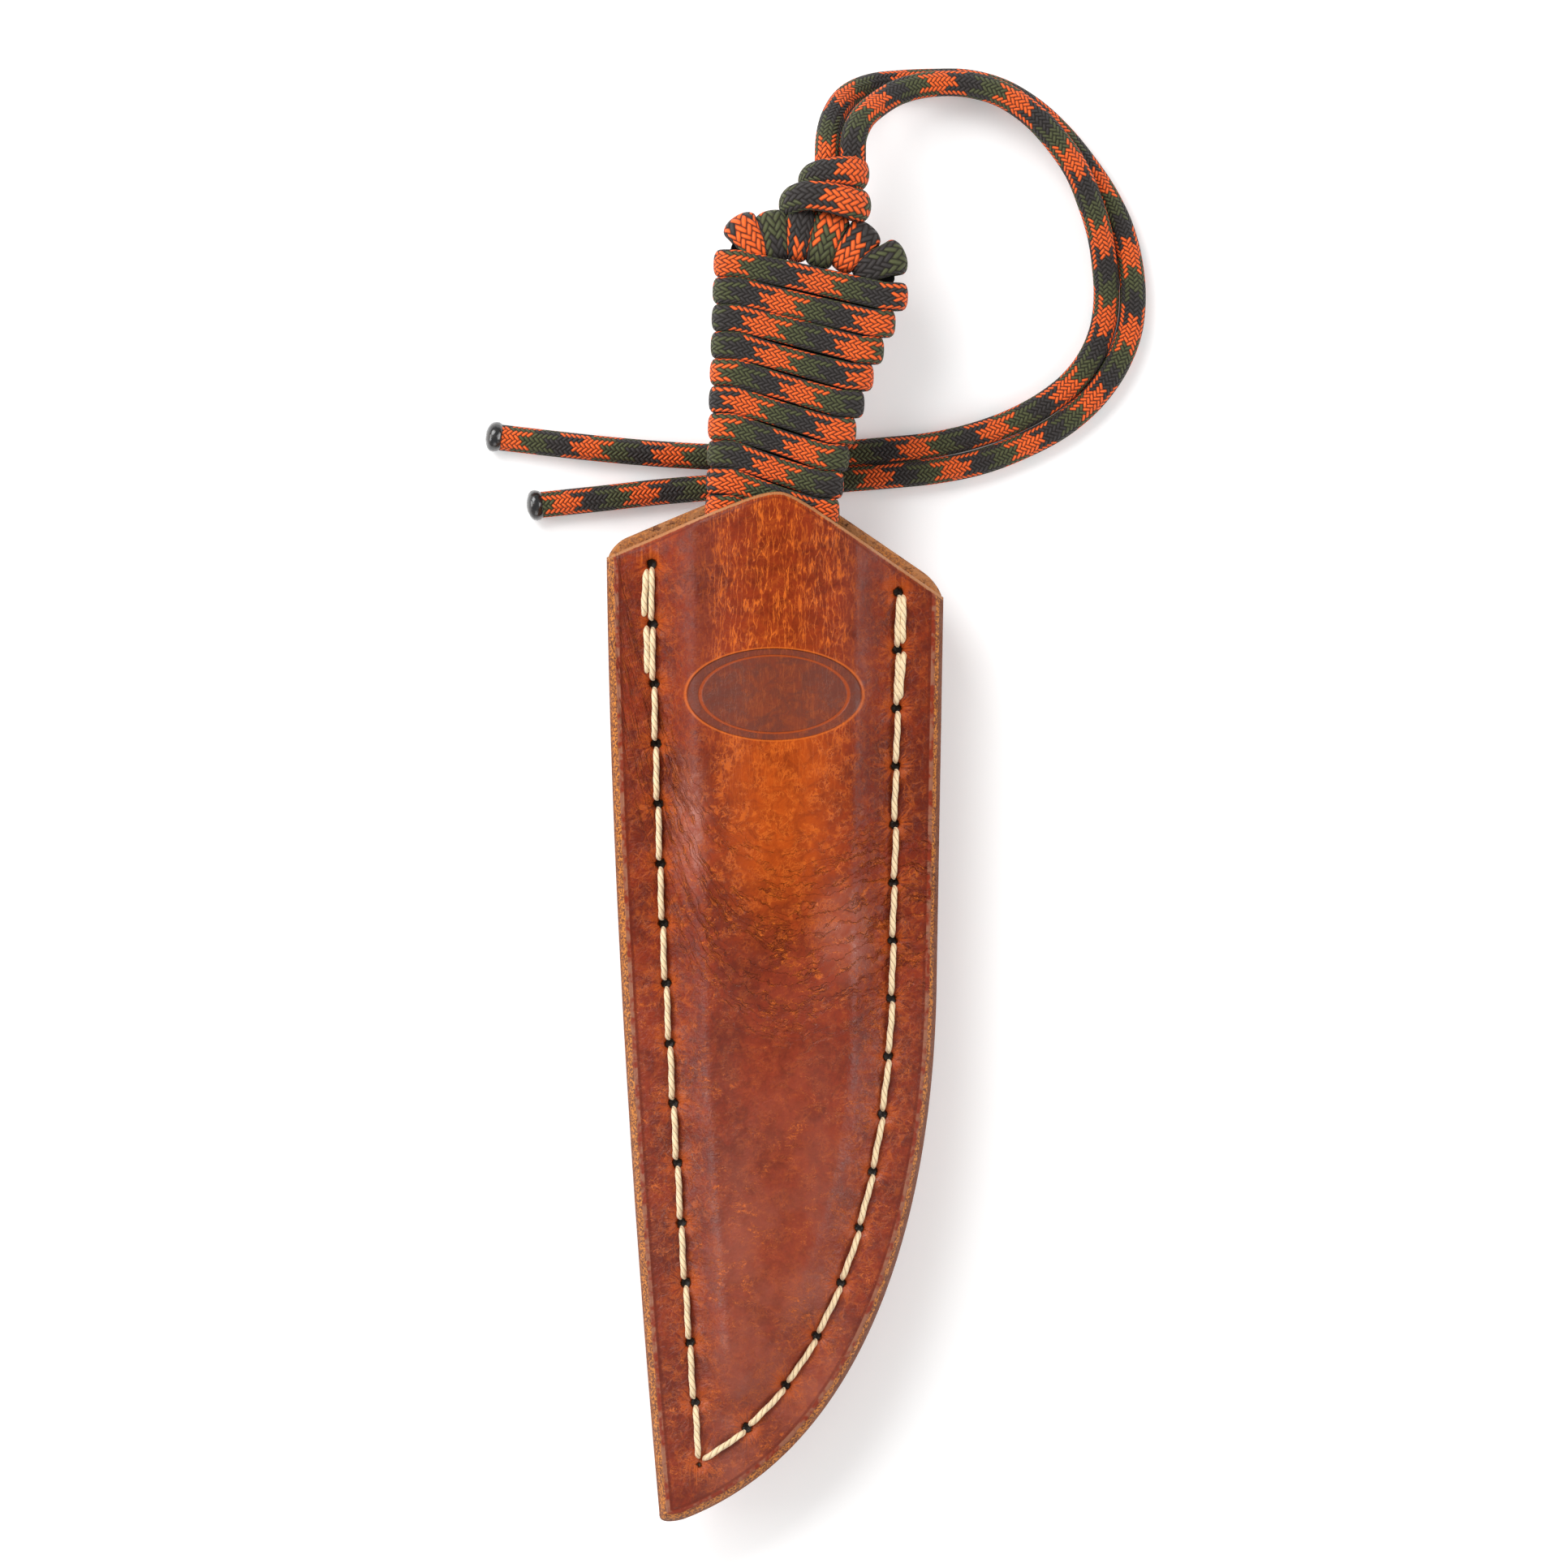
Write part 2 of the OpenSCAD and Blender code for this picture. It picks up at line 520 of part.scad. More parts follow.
// A loop of flat cord round the ring's band, at a point with an outward angle
band_mid = [ring_band / 2 + 0.1 + ring_flat_t / 2, steel_t / 2 + 0.1 + ring_flat_t / 2];
function soft_power(v) = sign(v) * pow(abs(v), 0.5);
function band_loop(p, a) = [for (b = [0:30:330])
    let (o = [cos(a), sin(a), 0],
         up = [0, 0, 1],
         c = [p.x, p.y, 0] + band_mid.x * soft_power(cos(b)) * o + band_mid.y * soft_power(sin(b)) * up,
         w = [-sin(a), cos(a), 0])
    flat_ring(c, cos(b) * o + sin(b) * up, w, mix(0.7, 1, (1 + cos(b)) / 2) * flat_w / 2,
              ring_flat_t / 2)];
band_r = [shoulder_r - ring_band / 2, corner_r - ring_band / 2];
flat_from = shoulder_c + band_r[0] * [cos(ring_top_a), sin(ring_top_a)];
flat_to = corner_c + band_r[1] * [cos(ring_top_a), sin(ring_top_a)];
ring_loops = concat([[shoulder_c + band_r[0] * [cos(128), sin(128)], 128]],
                    [for (u = [0.04, 0.31, 0.6, 0.88]) [mix(flat_from, flat_to, u), ring_top_a]],
                    [[corner_c + band_r[1] * [cos(34), sin(34)], 34]]);

module ring_wrap() color(cord_olive) in_knife() union() for (r = ring_loops) loop(band_loop(r[0], r[1]));

// Two turns of cord round the strands, the lower one wider and tilted
function knot_turn(c, rx, rz, tilt) = [for (b = [0:30:330])
    let (x = rx * cos(b), n = unit([cos(b) / rx, 0, sin(b) / rz]))
    [for (k = [0:7]) let (a = 45 * k)
        [c.x + x, c.y - x * tilt, rz * sin(b)] + knot_r * (cos(a) * n + sin(a) * [0, 1.12, 0])]];

module lanyard_knot() {
    color(cord_olive) in_knife() union() {
        hull() loop(knot_turn([knot_x, knot_y], 4.4, 2.9, 0.25));
        hull() loop(knot_turn(upper_turn, 3, 2.5, 0.05));
    }
}

module lanyard_cord_a() color(cord_olive) tube(cord_rings(route_a, cord_d));

module lanyard_cord_b() color(cord_orange) tube(cord_rings(route_b, cord_d));

// A melted end is a short mushroom cap on the end of its cord
module melted_tip(route) {
    end = route[len(route) - 1];
    d = end - route[len(route) - 2];
    cap_r = cord_d / 2 + 0.25;
    translate([end.x, end.y, cap_r]) rotate([0, 0, atan2(d.y, d.x)]) rotate([0, 90, 0])
        rotate_extrude($fn = 32) polygon([[0, 0], [cord_d / 2, 0], [cap_r, 0.35 * tip_l],
                                          [cap_r - 0.3, 0.75 * tip_l], [cord_d / 2 - 0.7, tip_l],
                                          [0, tip_l]]);
}

module cord_tip_a() color(melted) melted_tip(route_a);

module cord_tip_b() color(melted) melted_tip(route_b);

sheath_front();
sheath_back();
spine_welt();
edge_welt();
seam_thread_a();
seam_thread_b();
lock_stitches();
belt_loop();
belt_loop_thread();
blade();
handle_wrap();
ring_wrap();
lanyard_knot();
lanyard_cord_a();
lanyard_cord_b();
cord_tip_a();
cord_tip_b();
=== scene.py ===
"""Belt knife in a hand-sewn leather pouch: leather, braided cord, thread and steel over the CAD frame.

Sizes below are in millimetres and become metres as each mesh is made.
"""
import functools
import math
import random
from types import SimpleNamespace

import bpy
import numpy as np
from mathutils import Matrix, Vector, noise


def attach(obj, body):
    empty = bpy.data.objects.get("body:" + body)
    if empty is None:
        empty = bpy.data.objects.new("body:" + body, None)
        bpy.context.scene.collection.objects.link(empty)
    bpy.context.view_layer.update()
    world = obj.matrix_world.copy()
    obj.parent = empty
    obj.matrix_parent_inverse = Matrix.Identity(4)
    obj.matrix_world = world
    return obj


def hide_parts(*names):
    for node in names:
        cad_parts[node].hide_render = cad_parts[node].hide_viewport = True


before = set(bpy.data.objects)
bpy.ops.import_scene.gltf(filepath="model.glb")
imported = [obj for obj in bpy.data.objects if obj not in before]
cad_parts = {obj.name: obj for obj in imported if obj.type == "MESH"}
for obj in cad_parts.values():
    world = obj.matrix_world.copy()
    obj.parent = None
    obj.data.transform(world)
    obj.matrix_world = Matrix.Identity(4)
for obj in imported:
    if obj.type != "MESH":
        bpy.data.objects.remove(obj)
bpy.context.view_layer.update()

bl_info = {
    "name": "Sheath knife",
    "version": (1, 0, 0),
    "blender": (4, 5, 0),
    "location": "3D View > Sidebar > Sheath knife",
    "description": "Belt knife with a corded handle and lanyard in a sewn leather pouch",
    "category": "Object",
}

MM = 0.001

# ---- sizes shared with the CAD part, in millimetres ----
BLADE_L, BLADE_W, TIP_DROP = 71.0, 21.5, 5.5
TANG_L, GRIP_W, BUTT_FLARE, RING_BAND = 106.6, 15.2, 9.7, 2.6
LEAN = math.radians(2)
STEEL_T, FLAT_T, FLAT_W, WRAP_PITCH = 2.8, 2.3, 3.9, 4.08
# Lengths in which a colour comes round again on flat and on round cord, and carriers in each family
FLAT_LEAD, ROUND_LEAD, CARRIERS = 14.3, 12.1, 16
FRONT_T, BACK_T, WELT_T = 2.6, 2.8, 2.6
COVER_L, MOUTH_STEP, SEAM_INSET, SEAM_MARGIN = 66.0, 1.8, 6.8, 2.3
STITCH, THREAD_TWIST = 8.8, 3.4
BACK_Z = 7.2
WELT_Z = BACK_Z + BACK_T
FRONT_Z = WELT_Z + WELT_T
BORDER_Z = FRONT_Z + FRONT_T
KNIFE_Z = 14.05
BORDER = SEAM_INSET + SEAM_MARGIN
HANDLE_ROOF, BLADE_ROOF = 5.5, 4.35
CENTRE = np.array([10.3888, 13.8803])

ROUTE_A = [(7.9, 99.4, 13.6), (7.9, 102.4, 13.8), (8, 105, 12.6), (8.8, 108.6, 9.8), (11, 112, 6.2),
           (14.6, 113.8, 3.2), (19, 114.4, 1.9), (24, 114.6, 1.9), (29, 114.5, 1.9), (34, 113.2, 1.9),
           (38.8, 110.4, 1.9), (43.2, 106.4, 1.9), (46.8, 102, 1.9), (49.9, 97.4, 1.9), (52.2, 92.6, 1.9),
           (53.6, 87.4, 1.9), (54.1, 82, 1.9), (53.5, 76.6, 1.9), (51.4, 71.4, 1.9), (47.9, 66.6, 1.9),
           (43.2, 62.6, 1.9), (37.4, 59.5, 1.9), (31, 57.1, 1.9), (24, 55.7, 1.9), (17, 55, 1.9),
           (9.5, 54.4, 1.9), (1, 53.7, 1.9), (-8, 53.3, 1.9), (-17, 52.6, 1.9), (-26, 51.6, 1.9),
           (-35.4, 50.6, 1.9)]
ROUTE_B = [(11.7, 99.4, 14.2), (11.7, 102.4, 14.8), (11.8, 105.2, 14.6), (12.9, 108, 13), (15.4, 110.6, 10.2),
           (19.2, 112.9, 7.4), (24, 114, 5.9), (29, 113.9, 5.7), (34, 112.5, 5.8), (38.5, 109.6, 5.8),
           (42.4, 105.5, 5.75), (45.5, 101, 5.55), (47.5, 96.3, 4.85), (49, 91.6, 3.95), (49.8, 86.8, 2.9),
           (50.1, 82, 2.1), (49.5, 77.2, 1.9), (47.6, 72.6, 1.9), (44.6, 68.8, 1.9), (40.6, 65.7, 1.9),
           (35.7, 63.1, 1.9), (29.8, 61, 1.9), (23.4, 59.6, 1.9), (16.6, 58.9, 1.9), (9, 58.3, 1.9),
           (1, 57.8, 1.9), (-7.5, 57.8, 1.9), (-16, 58.2, 1.9), (-24.5, 58.9, 1.9), (-33, 59.8, 1.9),
           (-41.6, 60.8, 1.9)]


# ---- arithmetic on points ----
def mix(a, b, t):
    return a + (b - a) * t


def unit(v):
    v = np.asarray(v, float)
    return v / np.maximum(np.linalg.norm(v, axis=-1, keepdims=True), 1e-12)


def ease(v):
    v = np.clip(v, 0, 1)
    return v * v * (3 - 2 * v)


def bezier(c, t):
    t = np.asarray(t, float)[..., None]
    c = [np.asarray(p, float) for p in c]
    return (1 - t) ** 3 * c[0] + 3 * t * (1 - t) ** 2 * c[1] + 3 * t * t * (1 - t) * c[2] + t ** 3 * c[3]


def from_knife(p):
    """A point in the knife's own frame, seen in the sheath's frame."""
    p = np.asarray(p, float)
    c, s = math.cos(LEAN), math.sin(LEAN)
    return np.stack([p[..., 0] * c + p[..., 1] * s, -p[..., 0] * s + p[..., 1] * c], -1)


def knife_space(p):
    """Points in the knife's own frame, moved to the row frame, in millimetres."""
    p = np.asarray(p, float)
    flat = from_knife(p[..., :2]) - CENTRE
    return np.concatenate([flat, p[..., 2:] + KNIFE_Z], -1)


def even(points, step):
    """A smooth curve through points, with rings a set distance apart."""
    p = np.asarray(points, float)
    chord = run_of(p)
    slope = np.gradient(p, chord, axis=0)
    fine = []
    for i in range(len(p) - 1):
        h = chord[i + 1] - chord[i]
        t = np.linspace(0, 1, 16, endpoint=i == len(p) - 2)[:, None]
        fine.append((2 * t ** 3 - 3 * t ** 2 + 1) * p[i] + (t ** 3 - 2 * t ** 2 + t) * h * slope[i]
                    + (3 * t ** 2 - 2 * t ** 3) * p[i + 1] + (t ** 3 - t ** 2) * h * slope[i + 1])
    return resampled(np.concatenate(fine), step)


def resampled(p, step):
    run = run_of(p)
    n = max(2, int(round(run[-1] / step)) + 1)
    at = np.linspace(0, run[-1], n)
    return np.stack([np.interp(at, run, p[:, k]) for k in range(p.shape[1])], -1)


def run_of(p):
    """How far along a line of points each one lies."""
    return np.concatenate([[0], np.cumsum(np.linalg.norm(np.diff(p, axis=0), axis=1))])


def length_of(p):
    return float(run_of(p)[-1])


# ---- the knife's outline ----
HEEL_Y = -6.0
BELLY = [(BLADE_W, HEEL_Y), (BLADE_W + 0.5, -0.45 * BLADE_L), (BLADE_W - 1.5, -0.79 * BLADE_L), (TIP_DROP, -BLADE_L)]
WAIST_Y, SWELL, FLARE_TOP = 60.0, 1.2, TANG_L - 7.7


def tang_edge(y):
    """The width of the tang at a height above the blade."""
    if y < WAIST_Y:
        return GRIP_W + SWELL * math.sin(math.pi * max(y, 0) / WAIST_Y)
    return GRIP_W + BUTT_FLARE * min(1, (y - WAIST_Y) / (FLARE_TOP - WAIST_Y)) ** 1.8


# ---- the sheath's outline ----
BLADE_TIP = from_knife(BELLY[3])
LEFT_TOP = np.array([-(BORDER + 5.8), COVER_L - 9.7])
LEFT_MID = np.array([-(BORDER + 5), HEEL_Y])
TOE_LEFT = BLADE_TIP + [-10, -16.1]
LEFT_EDGE = [LEFT_TOP, mix(LEFT_TOP, LEFT_MID, 2 / 3), mix(TOE_LEFT, LEFT_MID, 2 / 3), TOE_LEFT]
ROOM = BORDER + 4.3
RIGHT_BELLY = from_knife(BELLY[0]) + [ROOM, 0]
RIGHT_EDGE = [RIGHT_BELLY, from_knife(BELLY[1]) + [ROOM, -15], from_knife(BELLY[2]) + [3.5, -22],
              BLADE_TIP + [-6.5, -17]]
RIGHT_TOP = np.array([RIGHT_BELLY[0] + 1, COVER_L - 15.7])
TOE_CORNER = BLADE_TIP + [-10.2, -17.9]
PEAK_X, PEAK_R, STRAIGHT = 10.9, 1.5, 0.4
SLOPE_L = math.sqrt((COVER_L + PEAK_R - LEFT_TOP[1]) ** 2 - PEAK_R ** 2) / (PEAK_X - LEFT_TOP[0])
SLOPE_R = math.sqrt((COVER_L + PEAK_R - RIGHT_TOP[1]) ** 2 - PEAK_R ** 2) / (RIGHT_TOP[0] - PEAK_X)


def mouth_y(x):
    x = np.asarray(x, float)
    return COVER_L + PEAK_R - np.sqrt(PEAK_R ** 2 + (np.where(x < PEAK_X, SLOPE_L, SLOPE_R) * (x - PEAK_X)) ** 2)


def side_at(side, t):
    t = np.asarray(t, float)
    if side < 0:
        return bezier(LEFT_EDGE, t)
    line = mix(RIGHT_TOP, RIGHT_BELLY, np.clip(t / STRAIGHT, 0, 1)[..., None])
    bend = bezier(RIGHT_EDGE, np.clip((t - STRAIGHT) / (1 - STRAIGHT), 0, 1))
    return np.where((t < STRAIGHT)[..., None], line, bend)


def toe_at(t):
    """The rounded toe, from the left edge at 0 to the right edge at 1."""
    t = np.asarray(t, float)[..., None]
    return mix(mix(TOE_LEFT, TOE_CORNER, t), mix(TOE_CORNER, np.asarray(RIGHT_EDGE[3]), t), t)


def inset_at(side, d, t):
    a = side_at(side, np.minimum(1, t + 0.004))
    b = side_at(side, np.maximum(0, t - 0.004))
    run = unit(a - b)
    inward = np.stack([-run[..., 1], run[..., 0]], -1) if side < 0 else np.stack([run[..., 1], -run[..., 0]], -1)
    return side_at(side, t) + d * inward


def crossing(d):
    """Where the offsets of both sides meet near the toe."""
    t = np.linspace(0.7, 1, 241)
    a, b = inset_at(-1, d, t), inset_at(1, d, t)
    gap = np.linalg.norm(a[:, None] - b[None], axis=-1)
    i, j = np.unravel_index(gap.argmin(), gap.shape)
    return float(t[i]), float(t[j])


POCKET_END = crossing(BORDER)
SEAM_END = crossing(SEAM_INSET)


def stitch_row(side):
    t = np.linspace(0, SEAM_END[0 if side < 0 else 1], 31)
    p = inset_at(side, SEAM_INSET, t)
    top = np.array([p[0, 0], float(mouth_y(p[0, 0])) - 3.9])
    p = np.concatenate([[top], p[p[:, 1] < top[1] - 0.5]])
    n = round(length_of(p) / STITCH)
    return resampled(p, length_of(p) / n)


LEFT_ROW, RIGHT_ROW = stitch_row(-1), stitch_row(1)
SEAM = np.concatenate([LEFT_ROW, RIGHT_ROW[:-1][::-1]])


def panel_outline(step):
    """The outline of a panel whose mouth stands a step above the front's."""
    t = np.linspace(0, 1, 90)
    left, right = side_at(-1, t), side_at(1, t)
    x = np.linspace(RIGHT_TOP[0], LEFT_TOP[0], 160)
    corner = np.minimum(x - LEFT_TOP[0], RIGHT_TOP[0] - x)
    round_off = 2.6 * (1 - np.sqrt(1 - (1 - np.clip(corner / 3.0, 0, 1)) ** 2))
    mouth = np.stack([x, mouth_y(x) + step - round_off], -1)
    return np.concatenate([left[2:], toe_at(np.linspace(0, 1, 12))[1:-1], right[2:][::-1], mouth])


def to_line(p, line):
    """For each point: distance to a line of points, and how far along it, counted in its segments."""
    a, b = line[:-1], line[1:]
    d = b - a
    best, along = np.full(len(p), 1e9), np.zeros(len(p))
    for i in range(len(a)):
        w = p - a[i]
        u = np.clip((w @ d[i]) / (d[i] @ d[i]), 0, 1)
        r = np.linalg.norm(w - u[:, None] * d[i], axis=1)
        better = r < best
        best = np.where(better, r, best)
        along = np.where(better, i + u, along)
    return best, along


# ---- meshes ----
def clear_selection():
    for o in bpy.context.selected_objects:
        o.select_set(False)
    bpy.context.view_layer.objects.active = None


def only(obj):
    clear_selection()
    obj.select_set(True)
    bpy.context.view_layer.objects.active = obj


def new_piece(name, verts, faces, uv=None, smooth=True, values=None):
    """A mesh object from points in millimetres. uv holds one pair per face corner."""
    mesh = bpy.data.meshes.new(name)
    mesh.from_pydata((np.asarray(verts) * MM).tolist(), [], faces)
    if uv is not None:
        layer = mesh.uv_layers.new(name="Along")
        layer.data.foreach_set("uv", np.asarray(uv, np.float32).ravel())
    for key, data in (values or {}).items():
        attribute = mesh.attributes.new(key, "FLOAT", "POINT")
        attribute.data.foreach_set("value", np.asarray(data, np.float32))
    if smooth:
        mesh.shade_smooth()
    mesh.validate()
    obj = bpy.data.objects.new(name, mesh)
    bpy.context.scene.collection.objects.link(obj)
    return obj


def flat_profile(width, thick, n, power=0.72):
    """A rounded flat section, points spaced evenly round it."""
    a = np.linspace(0, 2 * math.pi, 241)
    p = np.stack([width / 2 * np.sign(np.cos(a)) * np.abs(np.cos(a)) ** power,
                  thick / 2 * np.sign(np.sin(a)) * np.abs(np.sin(a)) ** power], -1)
    return resampled(p, length_of(p) / n)[:n]


def swept(name, centre, side, up, profile, along, closed=False, floor=None):
    """A cord: profile set on each point of a line. along is the length used by the weave, floor its lowest level."""
    profile = np.asarray(profile, float)
    if profile.ndim == 2:
        profile = np.repeat(profile[None], len(centre), 0)
    rings = centre[:, None] + profile[..., :1] * side[:, None] + profile[..., 1:] * up[:, None]
    if floor is not None:
        rings[..., 2] = np.maximum(rings[..., 2], floor)
    m, n = rings.shape[:2]
    rows = m if closed else m - 1
    j, i = np.meshgrid(np.arange(rows), np.arange(n), indexing="ij")
    k, q = (j + 1) % m, (i + 1) % n
    quads = np.stack([j * n + i, k * n + i, k * n + q, j * n + q], -1).reshape(-1, 4)
    along = np.concatenate([along, [2 * along[-1] - along[-2]]]) if closed else along
    u = np.stack([along[j], along[j + 1], along[j + 1], along[j]], -1)
    v = np.stack([i, i, i + 1, i + 1], -1) / n
    uv = np.stack([u, v], -1).reshape(-1, 2)
    faces = quads.tolist()
    if not closed:
        faces += [list(range(n)), [(m - 1) * n + x for x in range(n - 1, -1, -1)]]
        ends = np.concatenate([np.stack([np.full(n, along[e]), np.arange(n) / n], -1) for e in (0, -1)])
        uv = np.concatenate([uv, ends])
    return new_piece(name, rings.reshape(-1, 3), faces, uv)


def outward(obj, extrude=None, merge=None):
    """Turn all faces outwards, after an extrusion along Z or a merge of doubles if one is asked for."""
    only(obj)
    bpy.ops.object.mode_set(mode="EDIT")
    bpy.ops.mesh.select_all(action="SELECT")
    if extrude:
        bpy.ops.mesh.extrude_region_move(TRANSFORM_OT_translate={"value": (0, 0, extrude * MM)})
        bpy.ops.mesh.select_all(action="SELECT")
    if merge:
        bpy.ops.mesh.remove_doubles(threshold=merge)
    bpy.ops.mesh.normals_make_consistent(inside=False)
    bpy.ops.object.mode_set(mode="OBJECT")
    clear_selection()
    return obj


def joined(objects, name):
    """Several meshes made into one, with its faces turned outwards."""
    clear_selection()
    for o in objects:
        o.select_set(True)
    bpy.context.view_layer.objects.active = objects[0]
    bpy.ops.object.join()
    objects[0].name = name
    return outward(objects[0])


def finish_piece(obj, materials, body, node):
    """Give a piece its materials, hang it on the body it rides on, and hide the CAD node it stands for."""
    obj.data.materials.clear()
    for material in materials:
        obj.data.materials.append(material)
    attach(obj, body)
    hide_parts(node)
    return obj


# ---- node materials ----
class Value:
    """A number worked out in a node tree, so that a finish reads as sums."""

    def __init__(self, finish, socket):
        self.finish, self.socket = finish, socket

    def of(self, operation, *others):
        return self.finish.math(operation, self, *others)

    def span(self, low, high, to_low=0.0, to_high=1.0):
        """This value between low and high, eased and clamped."""
        return self.finish.out("ShaderNodeMapRange", (self, low, high, to_low, to_high),
                               interpolation_type="SMOOTHSTEP")

    def ridge(self, width):
        """Thin lines where a noise field crosses its middle."""
        return abs(self - 0.5).span(0.0, width, 1.0, 0.0)

    def near(self, middle, low, high):
        """One at middle, fading out between low and high to either side of it."""
        return abs(self - middle).span(low, high, 1.0, 0.0)

    __add__ = __radd__ = lambda a, b: a.of("ADD", b)
    __mul__ = __rmul__ = lambda a, b: a.of("MULTIPLY", b)
    __sub__ = lambda a, b: a.of("SUBTRACT", b)
    __rsub__ = lambda a, b: a.finish.math("SUBTRACT", b, a)
    __mod__ = lambda a, b: a.of("FLOORED_MODULO", b)
    __pow__ = lambda a, b: a.of("POWER", b)
    __lt__ = lambda a, b: a.of("LESS_THAN", b)
    __gt__ = lambda a, b: a.of("GREATER_THAN", b)
    __or__ = lambda a, b: a.of("MAXIMUM", b)
    __abs__ = lambda a: a.of("ABSOLUTE")


class Finish:
    """A node material, built value by value."""

    def __init__(self, name, **shader):
        self.material = bpy.data.materials.new(name)
        self.material.use_nodes = True
        self.tree = self.material.node_tree
        self.inputs = self.tree.nodes["Principled BSDF"].inputs
        for key, value in shader.items():
            self.inputs[key.replace("_", " ")].default_value = value

    @functools.cached_property
    def object_place(self):
        return self.out("ShaderNodeTexCoord", output="Object")

    def out(self, kind, values=(), output=0, **settings):
        """A new node's output. values feed its inputs in order, or by name."""
        n = self.tree.nodes.new(kind)
        for key, value in settings.items():
            setattr(n, key, value)
        pairs = values.items() if isinstance(values, dict) else enumerate(values)
        for key, value in pairs:
            self.feed(n.inputs[key], value)
        return Value(self, n.outputs[output])

    def feed(self, socket, value):
        if isinstance(value, Value):
            self.tree.links.new(value.socket, socket)
        else:
            socket.default_value = value

    def math(self, operation, *values):
        return self.out("ShaderNodeMath", values, operation=operation)

    def blend(self, factor, a, b, mode="MIX"):
        a, b = ((*c, 1) if isinstance(c, tuple) else c for c in (a, b))
        return self.out("ShaderNodeMix", {0: factor, 6: a, 7: b}, 2, data_type="RGBA", blend_type=mode)

    def place(self, sx=1.0, sy=1.0, sz=1.0, turn=0.0):
        """Object coordinates in millimetres, scaled and turned about Z."""
        return self.out("ShaderNodeMapping", {"Rotation": (0, 0, turn), "Scale": (1000 * sx, 1000 * sy, 1000 * sz),
                                              "Vector": self.object_place})

    def split(self, vector):
        n = self.tree.nodes.new("ShaderNodeSeparateXYZ")
        self.feed(n.inputs[0], vector)
        return [Value(self, socket) for socket in n.outputs]

    def along(self):
        """The two coordinates of a cord: millimetres along it, and share of the way round."""
        return self.split(self.out("ShaderNodeUVMap", uv_map="Along"))[:2]

    def joined(self, x, y, z=0.0):
        return self.out("ShaderNodeCombineXYZ", (x, y, z))

    def noise(self, vector, scale, detail=3.0, rough=0.55, distortion=0.0):
        return self.out("ShaderNodeTexNoise", {"Vector": vector, "Scale": scale, "Detail": detail, "Roughness": rough,
                                               "Distortion": distortion})

    def cells(self, vector, scale, feature="F1"):
        return self.out("ShaderNodeTexVoronoi", {"Vector": vector, "Scale": scale}, "Distance", feature=feature)

    def value_of(self, name):
        return self.out("ShaderNodeAttribute", output="Fac", attribute_name=name)

    def done(self, colour, roughness, height, distance, strength):
        """Feed the shader. height in relief, distance in millimetres."""
        normal = self.out("ShaderNodeBump", {"Strength": strength, "Distance": distance * MM, "Height": height})
        for key, value in (("Base Color", colour), ("Roughness", roughness), ("Normal", normal)):
            if value is not None:
                self.feed(self.inputs[key], value)
        return self.material


def colours(group):
    """The colours of one group of settings."""
    s = getattr(bpy.context.scene, group)
    return SimpleNamespace(**{key: tuple(getattr(s, key)) for key in type(s).__annotations__ if key != "diameter"})


@functools.cache
def braid_finish(flat):
    """Braided sleeve: carriers run both ways round the cord, over two and under two."""
    s = colours("knife_cord")
    f = Finish("braided_cord_flat" if flat else "braided_cord", Roughness=0.62, Sheen_Weight=0.05, Sheen_Roughness=0.5,
               Specular_IOR_Level=0.22)
    u, v = f.along()
    turns = u * (1 / (FLAT_LEAD if flat else ROUND_LEAD))
    right, left = (v + turns) * CARRIERS, (v - turns) * CARRIERS
    ri, li = right.of("FLOOR"), left.of("FLOOR")
    top = (ri + li) % 4.0 < 2.0

    def strand(own, index, other, shift):
        hump = ((own - index) * math.pi).of("SINE") | 0.001
        rise = (((index + other) % 4.0 - shift) * 0.5 * math.pi).of("SINE") | 0.001
        return hump ** 0.8 * (0.3 + 0.7 * rise ** 0.7)

    height = top * strand(right, ri, left, 0.0) + (1.0 - top) * strand(left, li, right, 2.0)
    # Half a round apart, so both families show the same colour along the middle of the face
    carrier = (top * ri + (1.0 - top) * (CARRIERS / 2 - li)) % CARRIERS
    colour = f.blend(carrier > 5.5, s.orange, s.olive)
    colour = f.blend(carrier > 10.5, colour, s.charcoal)
    fibre = f.noise(f.joined(right * 2.2, left * 2.2), 1.6, 2.0)
    colour = f.blend(fibre.span(0.3, 0.75, 0.0, 0.22), colour, (1.0, 0.82, 0.62), "OVERLAY")
    # Painted shade in the hollows between strands, darkest where the strands dip
    colour = f.blend(height.span(0.12, 0.72, 0.88, 0.0), colour, (0.012, 0.008, 0.006))
    soft = f.noise(f.place(), 0.35, 2.0)
    colour = f.blend(soft.span(0.35, 0.7, 0.0, 0.10), colour, (0.02, 0.012, 0.01))
    if flat:
        # Painted shade where neighbouring turns press together
        side = abs((v * (2 * math.pi)).of("SINE"))
        colour = f.blend(side.span(0.0, 0.34, 0.93, 0.0), colour, (0.006, 0.004, 0.003))
    return f.done(colour, height.span(0.2, 1.0, 0.8, 0.55), height, 0.36, 0.95)


def leather_base(f, s):
    """Colour and relief shared by the grain side of all panels."""
    p = f.place()
    broad = f.noise(p, 0.06, 3.0, 0.6)
    mottled = f.noise(p, 0.42, 6.0, 0.68, 0.8)
    fine = f.noise(p, 2.1, 4.0, 0.65)
    tone = broad * 0.45 + mottled * 0.4 + fine * 0.15
    return f.blend(tone.span(0.40, 0.60), s.deep, s.tan), f.cells(p, 2.4) * 0.6 + fine * 0.5, mottled


# Middle and half size in millimetres: the painted highlights on the left and the right shoulder, and the stamp
PAINTED_HIGHLIGHTS, STAMP = ((-12.6, 2.0, 4.2, 15.0), (10.4, -13.5, 6.5, 11.0)), (-0.1, 21.8, 13.2, 6.9)


